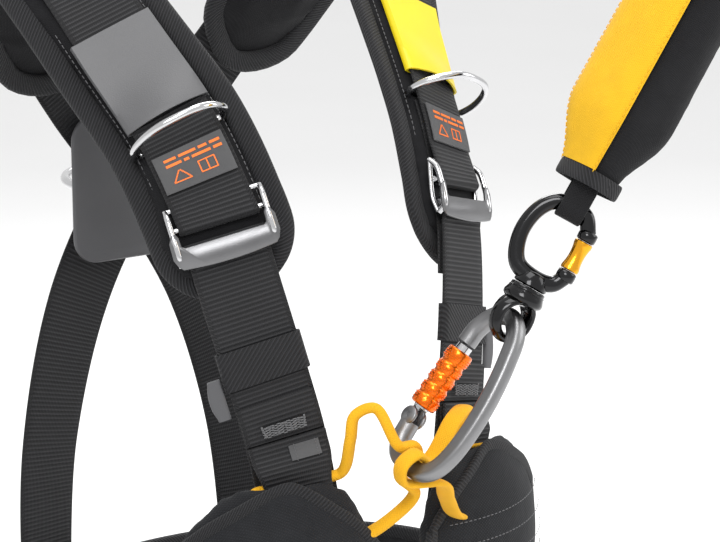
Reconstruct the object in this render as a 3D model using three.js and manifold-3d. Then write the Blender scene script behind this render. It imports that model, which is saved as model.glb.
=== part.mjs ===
// Full-body climbing harness with chest textile loops, carabiner, gated swivel and energy absorber.
// Millimetres, +Z up. The wearer faces -Y and the wearer's left is +X.
// The origin is on the wearer's spine line at the height of the top of the shoulders.
import * as THREE from "three";
import { mergeVertices } from "three/addons/utils/BufferGeometryUtils.js";
import Module from "manifold-3d";

const wasm = await Module();
wasm.setup();

// Driving dimensions
const GAP = 0.3; // clearance between neighbouring pieces
const WEB_WIDTH = 45;
const EYE_WIDTH = 44; // the tape of the sewn eye, a little inside the webbing edges
const WEB_THICK = 1.8;
const EDGE_ROUND = 0.6; // width of the rounded edge
const LAYER = WEB_THICK + GAP; // step from one layer of webbing to the next
const PAD_DROP = 6; // from the webbing's centre down to the top of a pad
const PAD_THICK = 9;
const SHOULDER_PAD_WIDTH = 80;
const RING_WIRE = 2.1;
const PAD_STEPS = 34;
const BUCKLE_WIDTH = 58;
const BUCKLE_HEIGHT = 34;
const BUCKLE_THICK = 2;
const BUCKLE_SLOT = 48;
const PLATE_HEIGHT = 21;
const PLATE_LIFT = 5.4; // front plate above the webbing's centre
const FIXED_BAR = { radius: 1.6, along: -5 };
const SLIDE_BAR = { radius: 1.9, along: 8 };
const BUCKLE_APPROACH = 6; // degrees of belt between a buckle and the run of webbing
const LEG_GAP_SHARE = 1.75; // the thigh is narrower than the waist, so its buckle takes a wider angle
const RING_DROP = 3.6; // ring bar below the webbing's centre
const PARKING = { halfBar: 26, reach: 31 };
const BELT_WIRE = 2.2;
const SIDE_RING_AT = 92;
const CROSS_LIFT = 4.4; // the left webbing passes over the right one
const STRAP_TAB = [9, 4];
const KEEPER_PLAY = 2.4;
const DORSAL = {
  at: [0, 120.6, -190],
  width: 104,
  height: 92,
  corner: 16,
  thick: 4,
  webY: 130,
  ringZ: -190,
  halfBar: 39,
  reach: 52,
  wire: 3,
  drop: 4.6,
};
const LOOP_STEPS = 64;
const BOW_CLEAR = 2;
const LOOP_TAPE = [10, 4]; // sternal loops: wide, thick
const RIGHT_EYE_SHORTER = 0.05; // the wearer's right eye is sewn shorter, in steps of the chest route
const EYE_RISE = 9; // outer layer of the eye above the chest webbing
const ROD_RADIUS = 5.5; // carabiner rod
const SLEEVE_RADIUS = 7.4;
const GATE_RADIUS = 4.4;
const SWIVEL_RADIUS = 13.4;
const SWIVEL_ROD = 4.3;
const BOLT_RADIUS = 2.7;
const ABSORBER = { width: 56, depth: 50, length: 200, taper: 0.56 };
const ABSORBER_WEB = 22;
const BELT_Z = -450;
const WAIST = { a: 168, b: 128, cy: 0 }; // belt line: half width, half depth, centre in Y
const WAIST_PAD = { from: 70, to: 290, top: -422, bottom: -498 };
const BELT_BUCKLE_AT = 52; // degrees round from the front
const THIGH = { a: 88, b: 92, cy: 0 };
const LEG_CENTRE = [116, -4, -655];
const LEG_TILT = 12; // degrees, outer side raised
const LEG_BUCKLE_AT = 32;
const LEG_PAD = { from: 62, to: 332, top: 34, bottom: -34 };

const HANGER_WIDTH = 30;
const HANGER_STEPS = 14;
const LEG_RISER = [
  [[42, -131.5, -455], [0.1, -1, 0]],
  [[48, -131, -490], [0.1, -1, 0]],
  [[66, -118, -560], [0.1, -1, 0.05]],
  [[84, -104, -620], [0.05, -1, 0.05]],
  [[88, -98, -660], [0, -1, 0]],
];
const SEAT_STRAP = [
  [[114, 99, -452], [0.6, 0.85, 0]],
  [[117, 102, -500], [0.55, 0.85, 0]],
  [[119, 104, -570], [0.3, 0.95, 0]],
  [[116, 97, -635], [0.05, 1, 0]],
  [[115, 93, -666], [0, 1, 0]],
];

// Where the line that holds the wearer leads: turned and tilted from the wearer's own axes
const LINE_TURN = -35;
const LINE_TILT = 14;
const CARABINER_AT = [-10, -174, -288];
const CARABINER_LEAN = 36; // degrees from upright, in the line's plane
const CARABINER_ROLL = 50; // spine turned toward the front
const SWIVEL_LEAN = 29;
const ABSORBER_ROLL = 52;

// Shoulder webbing from the belt at the back, across the dorsal plate, over the shoulder to the adjuster.
// Each waypoint is the webbing's centre on the wearer's left and the direction its outer face looks.
const SHOULDER_ROUTE = [
  [[-76, 119, -470], [-0.38, 1, 0]],
  [[-76, 121, -425], [-0.35, 1, 0]],
  [[-68, 126, -345], [-0.25, 1, 0]],
  [[-42, 130, -260], [-0.1, 1, 0]],
  [[0, 130, -190], [0, 1, 0.05]],
  [[44, 125, -132], [0.15, 1, 0.3]],
  [[82, 109, -76], [0.25, 0.85, 0.6]],
  [[104, 80, -35], [0.28, 0.45, 1]],
  [[111, 45, -22], [0.25, -0.1, 1]],
  [[107, 10, -44], [0.35, -0.5, 0.9]],
  [[97, -25, -80], [0.45, -0.75, 0.65]],
  [[88, -57, -113], [0.5, -0.85, 0.5]],
  [[84, -75, -136], [0.5, -0.9, 0.4]],
  [[79, -93, -168], [0.5, -0.9, 0.33]],
];
// Chest webbing from the adjuster down past the sternum to the belt.
const CHEST_ROUTE = [
  [[79, -93, -168], [0.5, -0.9, 0.33]],
  [[76, -102, -192], [0.47, -0.9, 0.26]],
  [[68, -114, -236], [0.42, -0.92, 0.18]],
  [[59, -123, -280], [0.36, -0.93, 0.1]],
  [[53, -127, -316], [0.33, -0.94, 0.02]],
  [[46, -129, -360], [0.28, -0.95, 0]],
  [[40, -129.5, -405], [0.2, -0.97, 0]],
  [[36, -128.5, -450], [0.14, -0.99, 0]],
  [[35, -128.5, -472], [0.14, -0.99, 0]],
];
// Places along the shoulder route, as waypoint numbers with fractions
const SHOULDER_AT = {
  cross: 4,
  padFrom: 5.3,
  padTo: 13,
  sleeveFrom: 9.7,
  sleeveTo: 10.95,
  ring: 11.35,
  webEnd: 12.3,
};
const SHOULDER_STEPS = 62;
const TAB_AT = [11.75, 12.3];
const CHEST_AT = { keeper: [1.85, 2.3], tab: [2.42, 2.88], eyeTop: 3.05, eyeOpen: 3.5, eyeBottom: 3.95 };
// Torso outline under the loop pouches
const RIBS = { a: 155, b: 137, cy: 2 };
const POUCH = [
  // height, inner and outer angle, thickness
  [-326, 14, 34, 5],
  [-335, 8, 41, 11],
  [-350, 6, 45, 16],
  [-375, 5, 46, 18],
  [-400, 6, 44, 17],
  [-412, 10, 40, 12],
];
const POUCH_LIFT = 4.6; // pouch back above the torso outline
// Sternal loops: the points from the eye to the carabiner's bow, then from the bow back to the eye.
const LOOPS = {
  left: {
    out: [
      [29, -158, -282],
      [26, -171, -268],
      [12, -180, -270],
    ],
    back: [
      [-4, -187, -310],
      [14, -177, -319],
      [45, -159, -324],
      [72, -146, -325],
      [87, -133, -318],
    ],
    bow: [7, -5],
    turn: [-30, 170],
  },
  right: {
    out: [
      [-35, -151, -280],
      [-34, -154, -266],
      [-25, -160, -262],
    ],
    back: [
      [-8, -167, -311],
      [-22, -163, -321],
      [-45, -155, -325],
      [-72, -143, -325],
      [-87, -132, -318],
    ],
    bow: [-4.6, -4.8],
    turn: [60, -150],
  },
};
const LOOP_SHIFT = 25; // straight run through the eye, each side of its middle
// Carabiner centreline in its own plane: across toward the spine, and up toward the line
const CARABINER_BODY = [
  [-17.6, 13],
  [-15.5, 2.5],
  [-10, -3.6],
  [0, -5],
  [12, -4.4],
  [20, 1.5],
  [24, 14],
  [23, 42],
  [16, 70],
  [9, 85],
  [-1, 91],
  [-12, 87],
  [-18, 76],
  [-18.4, 66],
];
const CARABINER_TOP = [-1, 91];
const GATE_SPAN = [14, 64.5];
const GATE_HINGE = { y: 16.5, radius: 1.6, cheek: 2.2 };
const TANG = 5;
const LOCK_SPAN = [24, 61];
const LOCK_GROOVES = 4;
// Swivel: eye round the carabiner, bearing collar, and the ring that opens at its bolt
const EYE_PLATE = 7;
const EYE_HOLE = 8.3;
const SWIVEL = { collar: { radius: 10, low: 8, high: 19 }, axle: { radius: 3.9 }, base: 13 };
const SWIVEL_RING = [
  [14.3, 33],
  [10, 26.5],
  [0, 24.5],
  [-12, 28],
  [-18, 42],
  [-16, 58],
  [-9, 67],
  [0, 68.5],
  [8.5, 67],
  [14.3, 59],
];
const BOLT_X = 14.3;
const LUG = { radius: 5.4, height: 6, at: [34, 58] };
const ABSORBER_START = 84;
const ABSORBER_WALL = 2.4;
const PANEL_THICK = 1.2;
const FOLDS = { count: 18, from: 12, length: 160, depth: 8 };
const LOWER_LOOP = { radius: 7.4, over: 68.5, width: 15 };
const UPPER_LOOP = { radius: 8, length: 45 };

const COLOURS = {
  webbing: 0x1c1c1e,
  padding: 0x26262a,
  grey: 0x6e6e70,
  yellow: 0xf2d11e,
  loop: 0xf6c21f,
  steel: 0xc9ccd0,
  satin: 0x9a9c9f,
  alloy: 0x85878a,
  orange: 0xe8690c,
  black: 0x101012,
  gold: 0xe3a11a,
};

const vec = (p) => new THREE.Vector3(...p);
const rad = THREE.MathUtils.degToRad;
const mirrored = ([x, y, z], side) => [x * side, y, z];

// Meshes

function mesh(name, geometry, colour, metalness = 0, roughness = 0.85) {
  const material = new THREE.MeshStandardMaterial({ color: colour, metalness, roughness });
  const node = new THREE.Mesh(geometry, material);
  node.name = name;
  return node;
}
const fabric = (name, geometry, colour = COLOURS.webbing) => mesh(name, geometry, colour);
const metal = (name, geometry, colour = COLOURS.steel) => mesh(name, geometry, colour, 0.9, 0.3);

// Closed surface through a list of rings of equal length. A looped one joins its last ring to its first.
function loft(rings, looped = false) {
  const count = rings[0].length;
  const points = rings.flat();
  const faces = [];
  const bays = looped ? rings.length : rings.length - 1;
  for (let i = 0; i < bays; i++) {
    const here = i * count;
    const next = ((i + 1) % rings.length) * count;
    for (let j = 0; j < count; j++) {
      const k = (j + 1) % count;
      faces.push(here + j, here + k, next + k, here + j, next + k, next + j);
    }
  }
  if (!looped) {
    const flat = (ring) => {
      const normal = new THREE.Vector3();
      const centre = ring.reduce((sum, p) => sum.clone().add(p)).divideScalar(count);
      ring.forEach((p, j) => {
        const q = ring[(j + 1) % count];
        normal.add(p.clone().sub(centre).cross(q.clone().sub(centre)));
      });
      const across = ring[0].clone().sub(centre).normalize();
      const up = normal.normalize().clone().cross(across);
      const plane = ring.map((p) => {
        const from = p.clone().sub(centre);
        return new THREE.Vector2(from.dot(across), from.dot(up));
      });
      return THREE.ShapeUtils.triangulateShape(plane, []);
    };
    const last = (rings.length - 1) * count;
    flat(rings[0]).forEach(([a, b, c]) => faces.push(a, c, b));
    flat(rings.at(-1)).forEach(([a, b, c]) => faces.push(last + a, last + b, last + c));
  }
  const geometry = new THREE.BufferGeometry().setFromPoints(points);
  geometry.setIndex(faces);
  return facingOut(geometry);
}

function facingOut(geometry) {
  const solid = solidOf(geometry);
  return geometryOf(solid);
}

// Booleans go through merged, position-only meshes
function solidOf(geometry) {
  const bare = new THREE.BufferGeometry().setAttribute("position", geometry.getAttribute("position"));
  if (geometry.index) bare.setIndex(geometry.index);
  const merged = mergeVertices(bare, 1e-4);
  const triVerts = new Uint32Array(merged.index.array);
  const vertProperties = new Float32Array(merged.attributes.position.array);
  const make = () =>
    new wasm.Manifold(
      new wasm.Mesh({ numProp: 3, vertProperties, triVerts }),
    );
  let made = make();
  if (made.volume() < 0) {
    for (let i = 0; i < triVerts.length; i += 3) {
      [triVerts[i + 1], triVerts[i + 2]] = [triVerts[i + 2], triVerts[i + 1]];
    }
    made = make();
  }
  return made;
}

function geometryOf(solid) {
  const { numProp, vertProperties, triVerts } = solid.getMesh();
  const points = [];
  for (let i = 0; i < vertProperties.length; i += numProp) {
    points.push(vertProperties[i], vertProperties[i + 1], vertProperties[i + 2]);
  }
  const geometry = new THREE.BufferGeometry();
  geometry.setAttribute("position", new THREE.Float32BufferAttribute(points, 3));
  geometry.setIndex([...triVerts]);
  geometry.computeVertexNormals();
  return geometry;
}

const joined = (...geometries) =>
  geometryOf(geometries.map(solidOf).reduce((sum, solid) => sum.add(solid)));
const cut = (geometry, ...tools) =>
  geometryOf(tools.map(solidOf).reduce((left, tool) => left.subtract(tool), solidOf(geometry)));

// Routes: a station holds a point, the travel direction, the way the outer face looks and the way across

function route(waypoints, side) {
  const points = waypoints.map(([at]) => vec(mirrored(at, side)));
  const faces = waypoints.map(([, out]) => vec(mirrored(out, side)).normalize());
  const curve = new THREE.CatmullRomCurve3(points, false, "centripetal");
  const last = points.length - 1;
  return (place, lift = 0, shift = 0) => {
    const u = THREE.MathUtils.clamp(place / last, 0, 1);
    const along = curve.getTangent(u);
    const from = Math.min(Math.floor(place), last - 1);
    const face = faces[from].clone().lerp(faces[from + 1], place - from);
    face.addScaledVector(along, -face.dot(along)).normalize();
    const across = along.clone().cross(face).multiplyScalar(side);
    const at = curve.getPoint(u).addScaledVector(face, lift).addScaledVector(across, shift);
    return { at, along, face, across };
  };
}

function stations(path, from, to, steps, lift = () => 0) {
  const list = [];
  for (let i = 0; i <= steps; i++) {
    const place = from + ((to - from) * i) / steps;
    list.push(path(place, lift(place)));
  }
  return list;
}

// Stations that turn about a line across the webbing, from its outer face round to its back
function wrap(start, radius, turn, steps) {
  const centre = start.at.clone().addScaledVector(start.face, -radius);
  const list = [];
  for (let i = 1; i <= steps; i++) {
    const angle = (turn * i) / steps;
    const cos = Math.cos(angle);
    const sin = Math.sin(angle);
    const face = start.face.clone().multiplyScalar(cos).addScaledVector(start.along, sin);
    const along = start.along.clone().multiplyScalar(cos).addScaledVector(start.face, -sin);
    list.push({ at: centre.clone().addScaledVector(face, radius), along, face, across: start.across });
  }
  return list;
}

const placed = (station, section) =>
  section.map(([across, out]) =>
    station.at.clone().addScaledVector(station.across, across).addScaledVector(station.face, out),
  );

const slab = (width, thick, lift = 0) => [
  [-width / 2, lift - thick / 2],
  [width / 2, lift - thick / 2],
  [width / 2, lift + thick / 2],
  [-width / 2, lift + thick / 2],
];

// The section of webbing with the rounded edges of its selvedge
const selvedged = (width, thick) => [
  [-width / 2 + EDGE_ROUND, -thick / 2],
  [width / 2 - EDGE_ROUND, -thick / 2],
  [width / 2, 0],
  [width / 2 - EDGE_ROUND, thick / 2],
  [-width / 2 + EDGE_ROUND, thick / 2],
  [-width / 2, 0],
];
const roundedBand = (list, width = WEB_WIDTH) =>
  loft(list.map((station) => placed(station, selvedged(width, WEB_THICK))));

function oval(width, thick, lift = 0, sides = 12) {
  return Array.from({ length: sides }, (_, i) => {
    const angle = (2 * Math.PI * (i + 0.5)) / sides;
    return [(width / 2) * Math.cos(angle), lift + (thick / 2) * Math.sin(angle)];
  });
}

const band = (list, width = WEB_WIDTH, thick = WEB_THICK) =>
  loft(list.map((station) => placed(station, slab(width, thick))));

// A flat tube that slips over webbing
function cover(list, width, height, wall) {
  const outer = list.map((station) => placed(station, slab(width + 2 * wall, height + 2 * wall)));
  const inner = list.map((station) => placed(station, slab(width, height)));
  return loft([...outer, ...inner.reverse()], true);
}

// Round bar along an open curve
function rod(points, radius, steps, sides = 10, tension = "centripetal") {
  const circle = new THREE.Shape().absarc(0, 0, radius, 0, 2 * Math.PI);
  const curve =
    points.length > 2
      ? new THREE.CatmullRomCurve3(points, false, tension)
      : new THREE.LineCurve3(...points);
  const along = { extrudePath: curve, steps, curveSegments: sides, bevelEnabled: false };
  return new THREE.ExtrudeGeometry(circle, along);
}

// Closed ring of round wire through points in one plane
function wireRing(points, normal, radius, steps, sides = 8) {
  const curve = new THREE.CatmullRomCurve3(points, true, "centripetal");
  const rings = [];
  for (let i = 0; i < steps; i++) {
    const u = i / steps;
    const along = curve.getTangentAt(u);
    const across = normal.clone().cross(along).normalize();
    const round = oval(2 * radius, 2 * radius, 0, sides);
    rings.push(placed({ at: curve.getPointAt(u), across, face: normal }, round));
  }
  return loft(rings, true);
}

// D-ring: a straight bar under the webbing and a bow that stands off its outer face
function dRing(station, halfBar, reach, wire, barDrop) {
  const outline = [
    [-halfBar, 0],
    [-halfBar / 2, 0],
    [0, 0],
    [halfBar / 2, 0],
    [halfBar, 0],
    [halfBar * 1.06, reach * 0.3],
    [halfBar * 0.86, reach * 0.68],
    [halfBar * 0.48, reach * 0.94],
    [0, reach],
    [-halfBar * 0.48, reach * 0.94],
    [-halfBar * 0.86, reach * 0.68],
    [-halfBar * 1.06, reach * 0.3],
  ];
  const points = outline.map(([across, out]) =>
    station.at
      .clone()
      .addScaledVector(station.across, across)
      .addScaledVector(station.face, out - barDrop),
  );
  return wireRing(points, station.along.clone(), wire, 32);
}

// Ellipse outlines of the body

function outline(form, degrees, lift = 0, z = 0) {
  const angle = rad(degrees);
  const across = new THREE.Vector3(Math.cos(angle) * form.a, Math.sin(angle) * form.b, 0).normalize();
  const face = new THREE.Vector3(across.y, -across.x, 0);
  const at = new THREE.Vector3(form.a * Math.sin(angle), form.cy - form.b * Math.cos(angle), z);
  return { at: at.addScaledVector(face, lift), along: across, face, across: new THREE.Vector3(0, 0, 1) };
}

function girdle(form, from, to, steps, lift, z = 0) {
  const degrees = (i) => from + ((to - from) * i) / steps;
  return Array.from({ length: steps + 1 }, (_, i) => outline(form, degrees(i), lift, z));
}

// A pad wrapped round part of an outline, with rounded ends
function wrappedPad(form, pad, drop, thick, steps) {
  const middle = (pad.top + pad.bottom) / 2;
  const half = (pad.top - pad.bottom) / 2;
  const list = girdle(form, pad.from, pad.to, steps, -drop - thick / 2, middle);
  return loft(
    list.map((station, i) => {
      const share = Math.abs((2 * i) / steps - 1);
      const swell = Math.sqrt(1 - 0.75 * share ** 6);
      return placed({ ...station, across: station.across }, oval(2 * half * swell, thick));
    }),
  );
}

// Adjuster buckle in the webbing's own frame: across, along and out

function inFrame(station, geometry) {
  const basis = new THREE.Matrix4().makeBasis(station.across, station.along, station.face);
  if (basis.determinant() < 0) basis.makeBasis(station.across.clone().negate(), station.along, station.face);
  return geometry.applyMatrix4(basis.setPosition(station.at));
}

const smallRing = (station, wire) => dRing(station, PARKING.halfBar, PARKING.reach, wire, RING_DROP);

// Solid of revolution about the vertical axis from pairs of radius and height
const latheOf = (profile) =>
  new THREE.LatheGeometry(
    profile.map(([r, y]) => new THREE.Vector2(r, y)),
    24,
  );
// Upright drum, its lower radius first
const drum = (lower, upper, length, sides) => new THREE.CylinderGeometry(upper, lower, length, sides);
const crossBar = (radius, length) =>
  drum(radius, radius, length, 16).rotateZ(Math.PI / 2);

// A front plate over two side cheeks, with the fixed bar that the upper webbing is sewn round
function buckleFrame(station) {
  const inside = BUCKLE_SLOT / 2;
  const wall = (BUCKLE_WIDTH - BUCKLE_SLOT) / 2;
  const plate = new THREE.BoxGeometry(BUCKLE_WIDTH, PLATE_HEIGHT, BUCKLE_THICK).translate(
    0,
    (BUCKLE_HEIGHT - PLATE_HEIGHT) / 2,
    PLATE_LIFT,
  );
  const cheek = (side) =>
    new THREE.BoxGeometry(wall, BUCKLE_HEIGHT, PLATE_LIFT + 2).translate(
      side * (inside + wall / 2),
      0,
      PLATE_LIFT / 2 - 1,
    );
  const fixed = crossBar(FIXED_BAR.radius, BUCKLE_SLOT + wall).translate(0, FIXED_BAR.along, 0);
  return inFrame(station, joined(plate, cheek(-1), cheek(1), fixed));
}

const buckleBar = (station, length = BUCKLE_SLOT - 2 * GAP) =>
  inFrame(station, crossBar(SLIDE_BAR.radius, length).translate(0, SLIDE_BAR.along, 0));

// Webbing that runs up to a buckle bar, turns round it and comes back underneath as a tail
function roundBar(list, frame, bar, tail) {
  const radius = bar.radius + GAP + WEB_THICK / 2;
  const over = frame.at.clone().addScaledVector(frame.along, bar.along).addScaledVector(frame.face, radius);
  const start = { ...frame, at: over };
  return [...list, start, ...wrap(start, radius, Math.PI, 8), ...tail];
}

const turned = (station) => ({ ...station, along: station.along.clone().negate() });

// Harness pieces on one side of the chest and back

function upperSide(side, tag) {
  const shoulder = route(SHOULDER_ROUTE, side);
  const chest = route(CHEST_ROUTE, side);
  const frame = chest(0);
  const crossLift = (place) =>
    side > 0 ? CROSS_LIFT * Math.exp(-(((place - SHOULDER_AT.cross) / 1.1) ** 2)) : 0;
  const under = -(FIXED_BAR.radius + GAP + WEB_THICK / 2);
  const upperWeb = roundBar(
    stations(shoulder, 0, SHOULDER_AT.webEnd, SHOULDER_STEPS, crossLift),
    frame,
    FIXED_BAR,
    stations(shoulder, 12.1, 11.5, 3, () => under),
  );
  const lowerUnder = -(SLIDE_BAR.radius + GAP + WEB_THICK / 2);
  const lowerWeb = roundBar(
    stations(chest, 8, 0.8, 34).map(turned),
    turned(frame),
    { ...SLIDE_BAR, along: -SLIDE_BAR.along },
    stations(chest, 0.9, 1.5, 3, () => lowerUnder),
  );
  const pad = stations(shoulder, SHOULDER_AT.padFrom, SHOULDER_AT.padTo, PAD_STEPS);
  const padRings = pad.map((station, i) => {
    const share = Math.abs((2 * i) / PAD_STEPS - 1);
    const width = SHOULDER_PAD_WIDTH * Math.sqrt(1 - 0.9 * share ** 10);
    return placed(station, oval(width, PAD_THICK, -PAD_DROP - PAD_THICK / 2));
  });
  const tabList = stations(shoulder, TAB_AT[0], TAB_AT[1], 6, () => LAYER);
  const sleeve = stations(shoulder, SHOULDER_AT.sleeveFrom, SHOULDER_AT.sleeveTo, 10);
  const sleeveCover = cover(sleeve, WEB_WIDTH + 1.5, WEB_THICK + 1.2, 1.1);
  const keeper = stations(chest, CHEST_AT.keeper[0], CHEST_AT.keeper[1], 5);
  const strapTab = stations(chest, CHEST_AT.tab[0], CHEST_AT.tab[1], 5).map((station) => ({
    ...station,
    at: station.at.clone().addScaledVector(station.across, -WEB_WIDTH / 2 - STRAP_TAB[0] / 2 - GAP),
  }));
  return [
    fabric("shoulder_webbing_" + tag, band(upperWeb)),
    fabric("chest_webbing_" + tag, band(lowerWeb)),
    fabric("shoulder_pad_" + tag, loft(padRings), COLOURS.padding),
    fabric("web_sleeve_" + tag, sleeveCover, side < 0 ? COLOURS.grey : COLOURS.yellow),
    fabric("ring_tab_" + tag, band(tabList, WEB_WIDTH - 5, 1.2), COLOURS.grey),
    metal("parking_ring_" + tag, smallRing(shoulder(SHOULDER_AT.ring), RING_WIRE)),
    metal("chest_buckle_frame_" + tag, buckleFrame(frame), COLOURS.satin),
    metal("chest_buckle_bar_" + tag, buckleBar(frame), COLOURS.satin),
    fabric("keeper_" + tag, cover(keeper, WEB_WIDTH + 1, WEB_THICK + KEEPER_PLAY, 1.3)),
    mesh("strap_tab_" + tag, band(strapTab, STRAP_TAB[0], STRAP_TAB[1]), COLOURS.grey, 0, 0.6),
    fabric("eye_tape_" + tag, roundedBand(eyeStations(chest, side), EYE_WIDTH)),
    fabric("sternal_loop_" + tag, sternalLoop(chest, LOOPS[tag]), COLOURS.loop),
    fabric("loop_pouch_" + tag, pouch(side), COLOURS.padding),
  ];
}

// The sewn eye on top of the chest webbing, open from side to side for the textile loop
function eyeStations(chest, side) {
  const { eyeTop } = CHEST_AT;
  const shorter = side < 0 ? RIGHT_EYE_SHORTER : 0;
  const eyeOpen = CHEST_AT.eyeOpen - shorter;
  const eyeBottom = CHEST_AT.eyeBottom - shorter;
  const lift = (place) =>
    2 * LAYER + (EYE_RISE - 2 * LAYER) * THREE.MathUtils.smoothstep(place, eyeTop + 0.12, eyeOpen);
  const outer = stations(chest, eyeTop, eyeBottom, 13, lift);
  const radius = (EYE_RISE - LAYER) / 2;
  const inner = stations(chest, eyeBottom, eyeTop, 8, () => LAYER);
  return [...outer, ...wrap(outer.at(-1), radius, Math.PI, 6).slice(0, -1), ...inner];
}

function lineFrame() {
  return new THREE.Matrix4().makeRotationZ(rad(LINE_TURN)).multiply(
    new THREE.Matrix4().makeRotationX(rad(90 - LINE_TILT)),
  );
}

// From the carabiner's own plane to the harness frame
function carabinerFrame() {
  return lineFrame()
    .multiply(new THREE.Matrix4().makeRotationZ(rad(-CARABINER_LEAN)))
    .multiply(new THREE.Matrix4().makeRotationY(rad(-CARABINER_ROLL)))
    .setPosition(...CARABINER_AT);
}

function sternalLoop(chest, loop) {
  const { eyeOpen, eyeBottom } = CHEST_AT;
  const middle = (EYE_RISE + LAYER) / 2;
  const through = [-1, -0.5, 0, 0.5, 1].map((share) =>
    chest((eyeOpen + eyeBottom) / 2 + 0.02, middle, share * LOOP_SHIFT),
  );
  const frame = carabinerFrame();
  const reach = ROD_RADIUS + LOOP_TAPE[1] / 2 + BOW_CLEAR;
  const centre = [...loop.out, ...loop.back].map(vec).reduce((sum, p) => sum.add(p), new THREE.Vector3());
  centre.divideScalar(loop.out.length + loop.back.length);
  const free = (at) => ({ at: vec(at), out: vec(at).sub(centre).normalize() });
  const bow = [0, 1 / 3, 2 / 3, 1].map((share) => {
    const angle = rad(loop.turn[0] + (loop.turn[1] - loop.turn[0]) * share);
    const [across, up] = loop.bow;
    const out = new THREE.Vector3(0, Math.cos(angle), Math.sin(angle));
    const at = new THREE.Vector3(across, up, 0).addScaledVector(out, reach).applyMatrix4(frame);
    return { at, out: out.transformDirection(frame) };
  });
  const held = through.map(({ at, face }) => ({ at, out: face }));
  const points = [...held, ...loop.out.map(free), ...bow, ...loop.back.map(free)];
  const curve = new THREE.CatmullRomCurve3(points.map(({ at }) => at), true, "centripetal");
  const rings = [];
  for (let i = 0; i < LOOP_STEPS; i++) {
    const u = i / LOOP_STEPS;
    const place = u * points.length;
    const from = Math.floor(place);
    const along = curve.getTangent(u);
    const out = points[from].out.clone().lerp(points[(from + 1) % points.length].out, place - from);
    out.addScaledVector(along, -out.dot(along)).normalize();
    const across = along.clone().cross(out).normalize();
    rings.push(placed({ at: curve.getPoint(u), across, face: out }, oval(...LOOP_TAPE, 0, 8)));
  }
  return loft(rings, true);
}

function pouch(side) {
  const rings = POUCH.map(([z, inner, outer, thick]) => {
    const ring = [];
    const steps = 8;
    for (let i = 0; i <= steps; i++) {
      const share = i / steps;
      const bulge = thick * (0.55 + 0.45 * Math.sin(Math.PI * share));
      ring.push(outline(RIBS, side * (inner + (outer - inner) * share), POUCH_LIFT + bulge, z).at);
    }
    for (let i = steps; i >= 0; i--) {
      ring.push(outline(RIBS, side * (inner + ((outer - inner) * i) / steps), POUCH_LIFT, z).at);
    }
    return ring;
  });
  return loft(rings);
}

// Carabiner, swivel and absorber, each in its own plane: across and up

function carabiner() {
  const path = CARABINER_BODY.map(([x, y]) => [x, y, 0]).map(vec);
  const [gateX] = CARABINER_BODY[0];
  const { y: hingeY, radius: pinRadius, cheek } = GATE_HINGE;
  const cheekPlate = (side) =>
    drum(ROD_RADIUS, ROD_RADIUS, cheek, 20)
      .rotateX(Math.PI / 2)
      .translate(gateX, hingeY, side * (TANG / 2 + GAP + cheek / 2));
  const hole = (radius) =>
    drum(radius, radius, 30, 20).rotateX(Math.PI / 2).translate(gateX, hingeY, 0);
  const slot = new THREE.BoxGeometry(14, 13, TANG + 2 * GAP).translate(gateX, hingeY - 0.5, 0);
  const stock = joined(rod(path, ROD_RADIUS, 54, 6), cheekPlate(-1), cheekPlate(1));
  const body = cut(stock, slot, hole(pinRadius + 0.1));
  const shaft = drum(GATE_RADIUS, GATE_RADIUS, GATE_SPAN[1] - LOCK_SPAN[0] + 1, 20).translate(
    gateX,
    (GATE_SPAN[1] + LOCK_SPAN[0] - 1) / 2,
    0,
  );
  const tang = new THREE.BoxGeometry(6.5, LOCK_SPAN[0] - GATE_SPAN[0] + 3, TANG).translate(
    gateX,
    (LOCK_SPAN[0] + GATE_SPAN[0] + 1) / 2,
    0,
  );
  const gate = cut(joined(shaft, tang), hole(pinRadius + 0.1));
  const pinLength = TANG + 2 * (GAP + cheek);
  const pin = drum(pinRadius, pinRadius, pinLength, 16)
    .rotateX(Math.PI / 2)
    .translate(gateX, hingeY, 0);
  const [low, high] = LOCK_SPAN;
  const bore = GATE_RADIUS + GAP;
  const wall = [
    [bore, low],
    [SLEEVE_RADIUS - 0.8, low],
    [SLEEVE_RADIUS, low + 1.2],
  ];
  for (let i = 0; i < LOCK_GROOVES; i++) {
    const y = low + 4 + i * 2.6;
    wall.push([SLEEVE_RADIUS, y], [SLEEVE_RADIUS - 0.7, y + 0.6], [SLEEVE_RADIUS, y + 1.2]);
  }
  wall.push([SLEEVE_RADIUS, high - 1.2], [SLEEVE_RADIUS - 0.8, high], [bore, high], [bore, low]);
  const lock = latheOf(wall).translate(gateX, 0, 0);
  const group = new THREE.Group();
  group.name = "carabiner";
  group.add(
    metal("carabiner_body", body, COLOURS.alloy),
    metal("carabiner_gate", gate),
    metal("gate_pin", pin),
    mesh("locking_sleeve", facingOut(lock), COLOURS.orange, 0.7, 0.35),
  );
  group.applyMatrix4(carabinerFrame());
  return group;
}

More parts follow.
